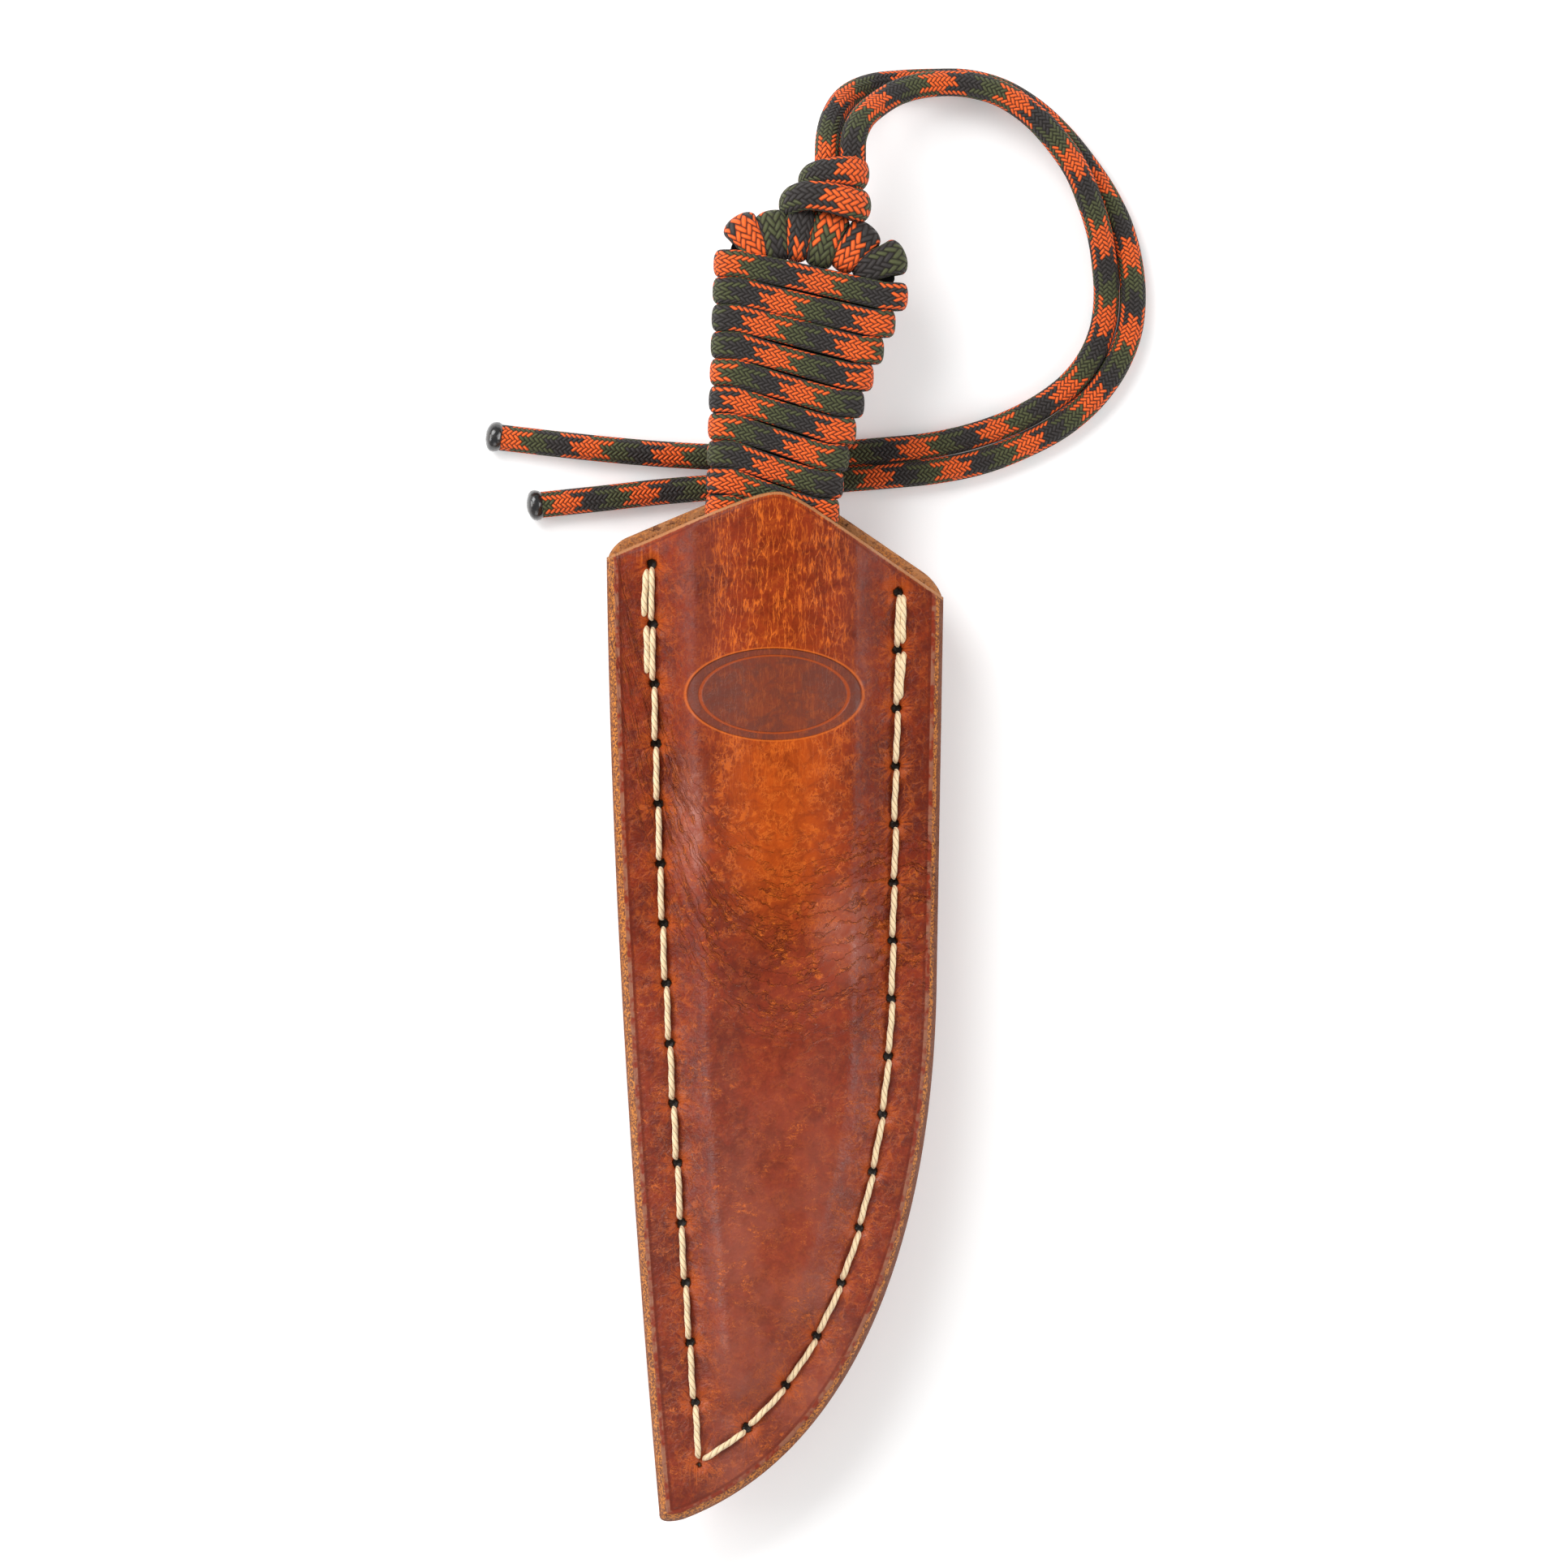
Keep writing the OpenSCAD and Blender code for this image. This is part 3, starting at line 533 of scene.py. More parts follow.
@functools.cache
def sheath_finish():
    """Waxed pull-up leather: orange where it is stretched, brown where it lies slack."""
    s = colours("knife_leather")
    f = Finish("pull_up_leather")
    x, y, _ = f.split(f.place())
    colour, pebble, mottled = leather_base(f, s)
    warp = f.noise(f.place(), 0.35, 3.0)
    tangle = f.noise(f.place(), 1.3, 3.0, 0.6)
    off = abs(x + -0.8)

    # Stretched over the handle the wax thins out and the leather glows orange
    middle = off.span(2.0, 13.5, 1.0, 0.0) * (y.span(-22.0, 2.0) * y.span(38.0, 10.0, 0.14, 1.0))
    thin = mottled + f.noise(f.place(1, 0.4), 0.3, 4.0) * 0.5
    colour = f.blend(middle * thin.span(0.52, 0.92, 0.45, 1.0), colour, s.glow)
    flank = off.span(7.0, 11.0) * off.span(15.5, 12.0) * y.span(8.0, 26.0)
    colour = f.blend(flank * mottled.span(0.35, 0.6, 0.1, 0.4), colour, s.stamp)

    # Dull, dusty wax on the flat lower half, partly a painted reflection of the lights there
    cloud = f.noise(f.place(), 0.14, 4.0, 0.6)
    bloom_and_reflection = y.span(-80.0, -22.0, 1.0, 0.25) * off.span(5.0, 14.0, 1.0, 0.1)
    bloom_and_reflection = bloom_and_reflection * (y.span(-4.0, -24.0) * cloud.span(0.35, 0.62, 0.4, 1.0))
    colour = f.blend(bloom_and_reflection * 0.8, colour, s.bloom_and_reflection)

    # Painted highlights where the shoulders turn towards the light, in a pale wax colour
    def round_spot(cx, cy, rx, ry):
        """Distance from the middle of an oval, one at its rim."""
        ax, ay = (x + -cx) * (1 / rx), (y + -cy) * (1 / ry)
        return (ax * ax + ay * ay).of("SQRT")

    left, right = (round_spot(*place).span(0.15, 1.0, 1.0, 0.0) for place in PAINTED_HIGHLIGHTS)
    painted_highlight = (left + right) * mottled.span(0.3, 0.62, 1.0, 0.45)
    colour = f.blend(painted_highlight * 0.75, colour, s.painted_highlight)

    # Veins: upright near the mouth, level lower down, netted between
    wx, wy = x + warp * 4.0, y + mottled * 4.0
    up = f.noise(f.joined(x + tangle * 0.5, y * 0.16), 1.25, 2.0, 0.55, 0.3)
    level = f.noise(f.joined(x * 0.26, y + tangle * 1.2), 0.85, 4.0, 0.62, 1.0)
    net = f.cells(f.joined(wx, wy), 0.62, "DISTANCE_TO_EDGE")
    small_net = f.cells(f.joined(wx + tangle * 1.6, (wy + tangle) * 0.8), 1.25, "DISTANCE_TO_EDGE")
    patch = f.noise(f.place(), 0.13, 2.0).span(0.44, 0.58)
    breaks = f.noise(f.place(), 0.55, 2.0).span(0.40, 0.60)
    across = f.value_of("seam_across")
    by_seam = across.span(1.0, 8.0, 1.0, 0.0)
    upright = up.ridge(0.05) * y.span(-2.0, 20.0) * (0.45 + breaks * 0.55) * off.span(13.0, 7.0, 0.15, 1.0)
    crossing_veins = level.ridge(0.026) * y.span(10.0, -10.0) * (breaks * (0.3 + patch * 0.7))
    netted = net.span(0.0, 0.09, 1.0, 0.0) * ((0.3 + breaks * 0.7) * (0.10 + by_seam * 0.36))
    stretched = y.span(-26.0, 4.0) * y.span(36.0, 12.0, 0.25, 1.0) * off.span(14.0, 8.0)
    crackle = small_net.span(0.0, 0.15, 1.0, 0.0) * (breaks * (0.15 + stretched * 0.55))
    veins = upright | crossing_veins * 0.9 | netted | crackle

    # Creases that sag across the sheath where the blade begins
    dx = x + -1.5
    sag = y - dx * dx * (0.042 - dx * 0.0013)
    crease_field = f.noise(f.joined(x * 0.07, (sag + (warp + tangle * 0.35) * 3.2) * 0.36), 1.0, 3.0, 0.62)
    crease_zone = sag.span(-36.0, -20.0) * sag.span(4.0, -10.0)
    creases = crease_field.ridge(0.03) * crease_zone * (0.25 + breaks * 0.75)
    # Painted highlight: a lit line just beside each crease, joined to the veins below and drawn in their colour
    lit = abs(crease_field - 0.5 + 0.022).span(0.0, 0.018, 1.0, 0.0) * crease_zone * breaks
    # Painted shade in the creases
    colour = f.blend(creases * 0.45, colour, s.deep)
    veins = veins | lit * 0.9
    colour = f.blend(veins.of("MINIMUM", 1.0) * 0.85, colour, s.vein)

    # Sewing: orange halos with fine rays round the awl holes, and painted shade in the holes themselves
    step = ((f.value_of("seam_along") + 0.5).of("FRACT") - 0.5) * STITCH
    reach = (step * step + across * across).of("SQRT")
    angle = across.of("ARCTAN2", step)
    rays = f.noise(f.joined(angle.of("COSINE") * 3.4, angle.of("SINE") * 3.4, x * 0.3), 1.7, 3.0, 0.6)
    halo = (reach + (0.5 - rays) * 6.0).span(0.7, 2.7, 1.0, 0.0)
    colour = f.blend(halo * 0.7, colour, s.halo)
    colour = f.blend(rays.ridge(0.03) * reach.span(4.6, 1.0) * 0.5, colour, s.vein)
    ragged = reach + (0.5 - f.noise(f.place(), 1.6, 2.0)) * 0.6
    hole = ragged.span(0.62, 0.86, 1.0, 0.0)
    colour = f.blend(across.span(0.4, 1.3, 1.0, 0.0) * 0.35, colour, s.deep)

    # Plain oval stamp: pressed in and darker, with a line inside its rim
    oval = round_spot(*STAMP)
    pressed = oval.span(0.975, 1.0, 1.0, 0.0)
    line = oval.near(0.84, 0.012, 0.03)
    colour = f.blend(pressed * mottled.span(0.35, 0.6, 0.92, 0.72), colour, s.stamp)
    colour = f.blend(line * 0.6, colour, s.glow)
    colour = f.blend(oval.near(1.01, 0.0, 0.03) * 0.6, colour, s.vein)

    # Sanded edge: a burnished strip, then speckled raw fibre, with painted shade on the outside of the right edge
    edge, mouth = f.value_of("edge_in"), f.value_of("mouth_in")
    on_edge = edge.span(1.2, 1.6, 1.0, 0.0)
    speck = f.noise(f.place(), 2.6, 3.0, 0.7)
    raw = f.blend(speck.span(0.42, 0.60), s.raw_dark, s.raw)
    burnish = f.blend(f.noise(f.place(), 0.5, 3.0).span(0.4, 0.6), s.burnish, s.tan)
    outer = edge + (0.5 - f.noise(f.place(), 1.1, 2.0)) * 0.5
    strip = f.blend(outer.span(1.0, 1.25), raw, burnish)
    # Painted shade: the outer strip of the right edge drawn in the dark fibre colour
    dark = (outer - x.span(4.0, 10.0, 0.3, 0.62)).span(-0.15, 0.1, 1.0, 0.0) * x.span(4.0, 10.0, 0.6, 0.9)
    strip = f.blend(dark, strip, s.raw_dark)
    colour = f.blend(edge.span(1.7, 1.8, 1.0, 0.0), colour, strip)
    colour = f.blend(edge.near(1.95, 0.05, 0.35) * 0.6, colour, s.deep)
    cut = (mouth + (0.5 - speck) * 0.4).span(0.32, 0.5, 1.0, 0.0)
    colour = f.blend(cut * 0.9, colour, s.flesh)
    colour = f.blend(mouth.near(0.85, 0.0, 0.25) * 0.5, colour, s.deep)
    # Painted shade: the awl holes drawn near black
    colour = f.blend(hole, colour, (0.012, 0.006, 0.003))

    sheen = off.span(1.0, 8.0) * mottled.span(0.3, 0.7, 0.20, 0.07)
    f.feed(f.inputs["Specular IOR Level"], sheen + (painted_highlight * 0.25 + y.span(-8.0, -40.0, 0.03, 0.2)))
    rough = mottled.span(0.3, 0.7, 0.30, 0.42) + bloom_and_reflection * 0.10 + on_edge * 0.25
    wrinkle = f.noise(f.joined(x + warp * 3.0, y), 0.8, 4.0, 0.6, 1.0)
    relief = pebble * 0.13 + wrinkle * (0.16 + by_seam * 0.6) - veins * 0.12 - creases * 1.0 - pressed * 0.8
    relief = relief - line * 0.25 - hole * 1.2 + speck * 0.6 * on_edge
    return f.done(colour, rough, relief, 0.42, 0.85)


@functools.cache
def panel_finish():
    """The same leather on the back panel and the belt loop, with no seam attributes."""
    s = colours("knife_leather")
    f = Finish("pull_up_leather_back", Specular_IOR_Level=0.5, Coat_Weight=0.1, Coat_Roughness=0.3)
    x, y, _ = f.split(f.place())
    colour, pebble, mottled = leather_base(f, s)
    warp = f.noise(f.place(), 0.35, 3.0)
    level = f.noise(f.place(0.4, 1.0), 0.7, 4.0, 0.62, 1.6)
    net = f.cells(f.joined(x + warp * 5.0, y + mottled * 4.0), 0.5, "DISTANCE_TO_EDGE")
    veins = level.ridge(0.022) * 0.5 | net.span(0.0, 0.07, 0.3, 0.0)
    relief = pebble * 0.2 + f.noise(f.place(), 0.8, 4.0, 0.6, 1.0) * 0.35 - veins * 0.15
    return f.done(f.blend(veins, colour, s.vein), mottled.span(0.3, 0.7, 0.42, 0.56), relief, 0.4, 0.8)


@functools.cache
def raw_finish():
    """Cut and sanded leather: stacked fibre, orange and tan with dark specks."""
    s = colours("knife_leather")
    f = Finish("raw_leather_edge", Roughness=0.85, Specular_IOR_Level=0.25)
    speck = f.noise(f.place(), 2.4, 4.0, 0.7)
    streak = f.noise(f.place(0.35, 0.35, 2.2), 1.1, 4.0, 0.65, 0.8)
    pits = f.noise(f.place(0.5, 1.2, 1.2), 0.9, 3.0, 0.6).span(0.56, 0.66, 0.0, 0.8)
    colour = f.blend(speck.span(0.4, 0.62), s.raw_dark, s.raw)
    colour = f.blend(streak.span(0.42, 0.6, 0.35, 0.9), colour, s.flesh)
    colour = f.blend(pits, colour, s.raw_dark)
    return f.done(colour, None, speck * 0.6 + streak * 0.6 - pits, 0.5, 0.9)


@functools.cache
def thread_finish():
    """Waxed thread, three plies twisted."""
    s = colours("knife_thread")
    f = Finish("waxed_thread", Roughness=0.55, Sheen_Weight=0.3)
    u, v = f.along()
    ply = (v * 3.0 - u * (3.0 / THREAD_TWIST)).of("FRACT")
    hump = (ply * math.pi).of("SINE")
    fibre = f.noise(f.joined(u * 1.2, ply * 5.0), 2.2, 4.0, 0.7)
    # Lit and shaded copies of the thread colour, mixed by fibre noise: painted light and shade
    colour = f.blend(fibre.span(0.35, 0.7), s.shade, s.cream)
    # Painted shade between the plies
    colour = f.blend(hump.span(0.0, 0.45, 0.7, 0.0), colour, s.ply_shade)
    return f.done(colour, None, hump + fibre * 0.4, 0.16, 0.9)


@functools.cache
def steel_finish():
    """Satin steel, brushed across the blade, with painted shade where the cord covers it."""
    f = Finish("satin_steel", Metallic=1.0, Specular_IOR_Level=0.5, Anisotropic=0.5)
    brushed = f.noise(f.place(0.05, 3.0, 1.0, -LEAN), 3.0, 3.0, 0.6)
    colour = f.blend(brushed.span(0.3, 0.7), (0.17, 0.173, 0.18), (0.28, 0.283, 0.29))
    colour = f.blend(f.noise(f.place(), 0.12, 3.0).span(0.5, 0.7, 0.0, 0.25), colour, (0.15, 0.14, 0.13))
    # Painted shade: near black wherever the cord covers the steel
    shade_under_cord = f.split(f.place())[1].span(-6.0, 0.0)
    colour = f.blend(shade_under_cord * 0.97, colour, (0.004, 0.004, 0.004))
    return f.done(colour, brushed.span(0.3, 0.7, 0.30, 0.46), brushed, 0.03, 0.5)


@functools.cache
def melted_finish():
    """Glossy black nylon."""
    f = Finish("melted_nylon", Coat_Weight=0.8, Coat_Roughness=0.08)
    blot = f.noise(f.place(), 0.9, 3.0)
    colour = f.blend(blot.span(0.4, 0.7), (0.006, 0.006, 0.007), (0.03, 0.022, 0.018))
    return f.done(colour, blot.span(0.3, 0.7, 0.12, 0.4), blot, 0.22, 0.7)


# ---- settings ----
def tint(name, words, value):
    return bpy.props.FloatVectorProperty(name=name, description=words, subtype="COLOR", size=3, min=0, max=1,
                                         default=value)


class KnifeCordSettings(bpy.types.PropertyGroup):
    """Colours of the braided cord and size of the lanyard."""
    orange: tint("Orange", "First carrier colour", (1.0, 0.135, 0.020))
    olive: tint("Olive", "Second carrier colour", (0.078, 0.088, 0.038))
    charcoal: tint("Charcoal", "Third carrier colour", (0.040, 0.036, 0.036))
    diameter: bpy.props.FloatProperty(name="Lanyard diameter", description="Diameter of the round cord", default=0.0038,
                                      min=0.003, max=0.0044, unit="LENGTH")


class KnifeLeatherSettings(bpy.types.PropertyGroup):
    """Colours of the leather."""
    deep: tint("Deep brown", "Slack and shaded leather", (0.112, 0.013, 0.005))
    tan: tint("Red brown", "Main colour", (0.232, 0.027, 0.008))
    glow: tint("Stretched", "Where the leather is pulled over the handle", (0.42, 0.066, 0.008))
    # Dull wax on the flat part, partly a painted reflection of the lights
    bloom_and_reflection: tint("Bloom", "Dull wax on the flat part", (0.300, 0.074, 0.043))
    painted_highlight: tint("Haze", "Wax haze on the shoulders", (0.40, 0.105, 0.058))
    # Painted highlight on the shoulders, in a pale wax colour
    vein: tint("Veins", "Lines where the wax has cracked", (0.66, 0.140, 0.018))
    halo: tint("Halo", "Stretched leather round the holes", (0.46, 0.075, 0.008))
    stamp: tint("Stamp", "Pressed and darkened leather", (0.130, 0.038, 0.026))
    raw: tint("Raw fibre", "Light specks of the cut edge", (0.62, 0.21, 0.035))
    raw_dark: tint("Raw dark", "Dark specks of the cut edge", (0.15, 0.045, 0.022))
    burnish: tint("Burnish", "Smoothed strip of the edge", (0.30, 0.115, 0.065))
    flesh: tint("Flesh side", "Cut fibre at the mouth", (0.46, 0.20, 0.080))


class KnifeThreadSettings(bpy.types.PropertyGroup):
    """Sewing thread."""
    cream: tint("Cream", "Lit thread", (1.0, 0.84, 0.56))
    shade: tint("Shade", "Shaded thread", (0.84, 0.60, 0.32))
    # Painted shade between the plies
    ply_shade: tint("Crevice", "Between the plies", (0.33, 0.16, 0.06))
    diameter: bpy.props.FloatProperty(name="Thread diameter", description="Diameter of the sewing thread",
                                      default=0.00095, min=0.0005, max=0.001, unit="LENGTH")


class KnifeStageSettings(bpy.types.PropertyGroup):
    """Floor and light."""
    floor: tint("Floor", "Plain pale floor", (0.93, 0.93, 0.93))
    key: bpy.props.FloatProperty(name="Key light", description="Power of the main light",
                                 default=7.0, min=0, unit="POWER")
    fill: bpy.props.FloatProperty(name="Fill light", description="Power of each side light",
                                  default=3.3, min=0, unit="POWER")


class PieceOperator:
    bl_options = {"REGISTER", "UNDO"}


# ---- stage ----
class KNIFE_OT_stage(PieceOperator, bpy.types.Operator):
    """Camera, floor and soft lights."""
    bl_idname = "knife.stage"
    bl_label = "Stage"

    def execute(self, context):
        s = context.scene.knife_stage
        middle = Vector((1.35, 8.4, 0)) * MM
        data = bpy.data.cameras.new("camera")
        data.sensor_width = 36
        distance = 1.6
        data.lens = 36 * distance / 0.2356
        data.clip_end = 20
        camera = bpy.data.objects.new("camera", data)
        camera.location = middle + Vector((0, 0, distance + 0.012))
        context.scene.collection.objects.link(camera)
        context.scene.camera = camera
        clear_selection()
        bpy.ops.mesh.primitive_plane_add(size=8, location=(0, 0, 0))
        floor = context.object
        floor.name = "floor"
        f = Finish("pale_floor", Roughness=0.9, Specular_IOR_Level=0.1, Emission_Color=(1, 1, 1, 1),
               Emission_Strength=0.16)
        cloud = f.noise(f.place(0.001, 0.001, 0.001), 3.0, 2.0)
        colour = f.blend(cloud.span(0.3, 0.7), tuple(s.floor), tuple(min(1, c * 1.01) for c in s.floor))
        f.feed(f.inputs["Base Color"], colour)
        floor.data.materials.append(f.material)
        clear_selection()
        lamps = (("key", (-0.42, 0.58, 0.66), 0.60, s.key), ("left", (-0.75, 0.05, 0.42), 0.5, s.fill),
                 ("right", (0.75, 0.0, 0.45), 0.5, s.fill), ("low", (0.1, -0.8, 0.5), 0.5, s.fill * 0.4))
        for name, at, size, power in lamps:
            bpy.ops.object.light_add(type="AREA", location=at)
            lamp = context.object
            lamp.name = name
            lamp.data.size = size
            lamp.data.energy = power
            lamp.rotation_euler = (middle - Vector(at)).to_track_quat("-Z", "Y").to_euler()
        world = bpy.data.worlds.new("studio")
        world.use_nodes = True
        world.node_tree.nodes["Background"].inputs[0].default_value = (1, 1, 1, 1)
        world.node_tree.nodes["Background"].inputs[1].default_value = 0.42
        context.scene.world = world
        context.scene.view_settings.view_transform = "Standard"
        clear_selection()
        return {"FINISHED"}


# ---- cords ----
def line_frames(p):
    t = unit(np.gradient(p, axis=0))
    side = unit(np.cross(t, [0, 0, 1.0]))
    return t, side, unit(np.cross(side, t))


class KNIFE_OT_lanyard(PieceOperator, bpy.types.Operator):
    """The two lanyard strands and their melted ends."""
    bl_idname = "knife.lanyard"
    bl_label = "Lanyard"

    def execute(self, context):
        d = context.scene.knife_cord.diameter / MM
        for letter, route, way, first, last in (("a", ROUTE_A, 1, 3.0, 3.4), ("b", ROUTE_B, -1, 12.3, 1.6)):
            p = even(route, 0.45)
            t, side, up = line_frames(p)
            run = run_of(p)
            profile = flat_profile(d * 1.03, d * 0.97, 32, 1.0)
            # A whole number of repeats between the first orange patch and the last
            repeat = (run[-1] - first - last) / round((run[-1] - first - last) / ROUND_LEAD)
            along = (way * (run - first) / repeat - 0.0625) * ROUND_LEAD
            cord = outward(swept("lanyard_" + letter, p, side, up, profile, along))
            finish_piece(cord, [braid_finish(False)], "knife", "lanyard_cord_" + letter)
            tip = self.tip(letter, p[-1], t[-1], d)
        return {"FINISHED"}

    def tip(self, letter, end, direction, d):
        """A melted mushroom cap, turned round the cord's end."""
        r = d / 2
        shape = [(-0.35, 0.96 * r), (-0.1, r + 0.1), (0.25, r + 0.34), (0.75, r + 0.42), (1.25, r + 0.34),
                 (1.65, r + 0.02), (1.95, r - 0.6), (2.12, r - 1.15), (2.16, 0.02)]
        seed = random.Random(7 if letter == "a" else 11).random() * 10
        angles = np.linspace(0, 2 * math.pi, 41)[:-1]
        _, side, up = line_frames(np.array([end - direction, end, end + direction]))
        round_about = [(math.cos(a), math.sin(a)) for a in angles]
        rings = np.array([[radius * (1 + 0.07 * noise.noise(Vector((x * 1.3, y * 1.3, s * 0.7 + seed))))
                           * np.array([x, y]) for x, y in round_about] for s, radius in shape])
        axis = end + np.outer([s for s, _ in shape], direction)
        tip = swept("melted_end_" + letter, axis, side[:1].repeat(len(shape), 0), up[:1].repeat(len(shape), 0),
                    rings, np.arange(len(shape)), floor=0.05)
        outward(tip)
        return finish_piece(tip, [melted_finish()], "knife", "cord_tip_" + letter)


# From the left end of each turn to the middle of its first orange patch
PATCH_AT = (2.9, 11.6, 9.0, 11.0, 0.9, 6.7, 1.8, 11.4, 5.0)
LEFT_BACK, LEFT_FRONT = (-108, -126, -144, -162, -180), (-180, -198, -216, -234, -252)


def turn_line(w, y0, seed):
    """One turn of flat cord round the tang, from its left end: points, outward directions, slope and width."""
    z = STEEL_T / 2 + 0.05 + FLAT_T / 2
    bend = 1.2
    reach = bend + 0.05 + FLAT_T / 2
    rng = random.Random(seed)
    slack = rng.uniform(-0.12, 0.05)
    pts, outs, slopes, wide = [], [], [], []

    def put(x, zz, a, s, k, width=1.0):
        pts.append([x, y0 - WRAP_PITCH * s + slack * math.sin(math.pi * s), zz])
        outs.append([math.cos(a), 0, math.sin(a)])
        slopes.append(k)
        wide.append(width)

    def corner(angles, x, s):
        for a in np.radians(angles):
            c, d = math.cos(a), math.sin(a)
            put(x + reach * math.copysign(abs(c) ** 0.6, c), z * math.copysign(abs(d) ** 0.6, d), a, s, max(0, d))

    r = w - bend
    thin = 0.05 + 0.06 * rng.random() if seed > 2 else 0.02
    corner(LEFT_FRONT, bend, 0)
    for u in np.linspace(0, 1, 26):
        arch = math.sin(math.pi * u)
        put(mix(bend + 0.2, r - 0.2, u), z + 0.12 * arch, math.pi / 2, u, 1, 1 - thin * arch)
    corner((72, 54, 36, 18, 0, -18, -36, -54, -72), r, 1)
    for u in np.linspace(0, 1, 14):
        put(mix(r - 0.2, bend + 0.2, u), -z - 0.05 * math.sin(math.pi * u), -math.pi / 2, 1, 0)
    corner(LEFT_BACK[:-1], bend, 1)
    return pts, outs, slopes, wide


class KNIFE_OT_handle(PieceOperator, bpy.types.Operator):
    """Flat cord wound down the tang."""
    bl_idname = "knife.handle"
    bl_label = "Handle wrap"

    def execute(self, context):
        start = TANG_L - 6.2
        turns = int((start - 2) // WRAP_PITCH)
        pts, outs, ways, along, widths = [], [], [], [], []
        hidden = 16
        for j in range(turns):
            y0 = start - j * WRAP_PITCH
            w = tang_edge(y0 - WRAP_PITCH / 2)
            p, o, k, wide = turn_line(w, y0, j)
            slope = WRAP_PITCH / w
            p = np.array(p)
            step = run_of(p)
            first = -0.0625 * FLAT_LEAD - PATCH_AT[j % len(PATCH_AT)]
            if along:
                # The run behind the tang takes up the difference, so the weave is unbroken
                laps = math.ceil((along[-1] + 0.8 - first) / FLAT_LEAD - 0.35)
                first += laps * FLAT_LEAD
                spare = first - 0.8 - along[-1]
                for q in range(hidden):
                    along[q - hidden] += spare * (q + 1) / hidden
            pts += p.tolist()
            outs += o
            widths += wide
            ways += [unit([slope * v, 1, 0]) for v in k]
            along += (first + step).tolist()
        p, up, side = np.array(pts), unit(np.array(outs)), np.array(ways)
        base = flat_profile(FLAT_W + 0.26, FLAT_T, 26, 0.74)
        profile = np.repeat(base[None], len(p), 0)
        profile[..., 0] *= np.array(widths)[:, None]
        wrap = swept("handle_cord", knife_space(p), side @ TURNED, up @ TURNED, profile, np.array(along))
        finish_piece(outward(wrap), [braid_finish(True)], "knife", "handle_wrap")
        return {"FINISHED"}


TURNED = np.array([[math.cos(LEAN), -math.sin(LEAN), 0], [math.sin(LEAN), math.cos(LEAN), 0], [0, 0, 1]])


# Loops on the butt ring: middle, lean from upright, width, reach beyond the ring, weave offset
RING_LOOPS = ((-3.9, 90.2, 124, 5.5, 0.3, 9.5), (-0.1, 90.8, 98, 5.3, 0.1, 1.6), (3.6, 90.9, 82, 4.6, 0.6, 5.6),
              (7.6, 90.2, 72, 5.6, 0.8, 12.6), (12.1, 89.2, 51, 5.4, 0.1, 7.4), (16.0, 86.6, 21, 5.5, 0.2, 3.0))


def closed_line(points, n):
    """A smooth closed curve through points, with n rings spaced evenly."""
    p = np.asarray(points, float)
    fine = []
    for i in range(len(p)):
        a, b, c, d = p[i - 1], p[i], p[(i + 1) % len(p)], p[(i + 2) % len(p)]
        t = np.linspace(0, 1, 13)[:-1, None]
        fine.append(0.5 * (2 * b + (c - a) * t + (2 * a - 5 * b + 4 * c - d) * t ** 2
                           + (3 * b - a - 3 * c + d) * t ** 3))
    fine = np.concatenate([*fine, fine[0][:1]])
    return resampled(fine, length_of(fine) / n)[:n]


def closed_band(name, line, up, width, thick, laps, shift, crown=0.0, power=0.85):
    """A closed band of flat cord. crown draws its edges back from its crest."""
    tangent = unit(np.roll(line, -1, 0) - np.roll(line, 1, 0))
    side = unit(np.cross(tangent, up))
    up = unit(np.cross(side, tangent))
    base = flat_profile(1, 1, 28, power)
    profile = np.stack([base[None, :, 0] * width[:, None],
                        base[None, :, 1] * thick - crown * (base[None, :, 0] * width[:, None]) ** 2], -1)
    run = run_of(line)
    total = run[-1] + np.linalg.norm(line[0] - line[-1])
    return swept(name, line, side, up, profile, run / total * laps * FLAT_LEAD + shift, closed=True)


class KNIFE_OT_butt_ring(PieceOperator, bpy.types.Operator):
    """Loops of flat cord round the butt ring."""
    bl_idname = "knife.butt_ring"
    bl_label = "Ring loops"

    def execute(self, context):
        loops = []
        b = np.linspace(0, 2 * math.pi, 57)[:-1]
        for i, (x, y, lean, width, beyond, shift) in enumerate(RING_LOOPS):
            ang = math.radians(lean)
            out = np.array([math.cos(ang), math.sin(ang), 0])
            far = RING_BAND / 2 + np.where(np.cos(b) > 0, 1.2 + beyond, 1.8 if i < 3 else 2.2)
            q = np.stack([far * np.sign(np.cos(b)) * np.abs(np.cos(b)) ** 0.66,
                          (STEEL_T / 2 + 1.1) * np.sign(np.sin(b)) * np.abs(np.sin(b)) ** 0.66], -1)
            centre = np.array([x, y, KNIFE_Z]) + q[:, :1] * out + q[:, 1:] * [0, 0, 1.0]
            up = np.cos(b)[:, None] * out + np.sin(b)[:, None] * np.array([0, 0, 1.0])
            wide = mix(0.74, 1.0, (1 + np.cos(b)) / 2) * width
            loops.append(closed_band(f"loop_{i}", centre, up, wide, 2.3, 1, shift, 0.05, 0.8))
        piece = joined(loops, "ring_cord")
        finish_piece(piece, [braid_finish(True)], "knife", "ring_wrap")
        return {"FINISHED"}


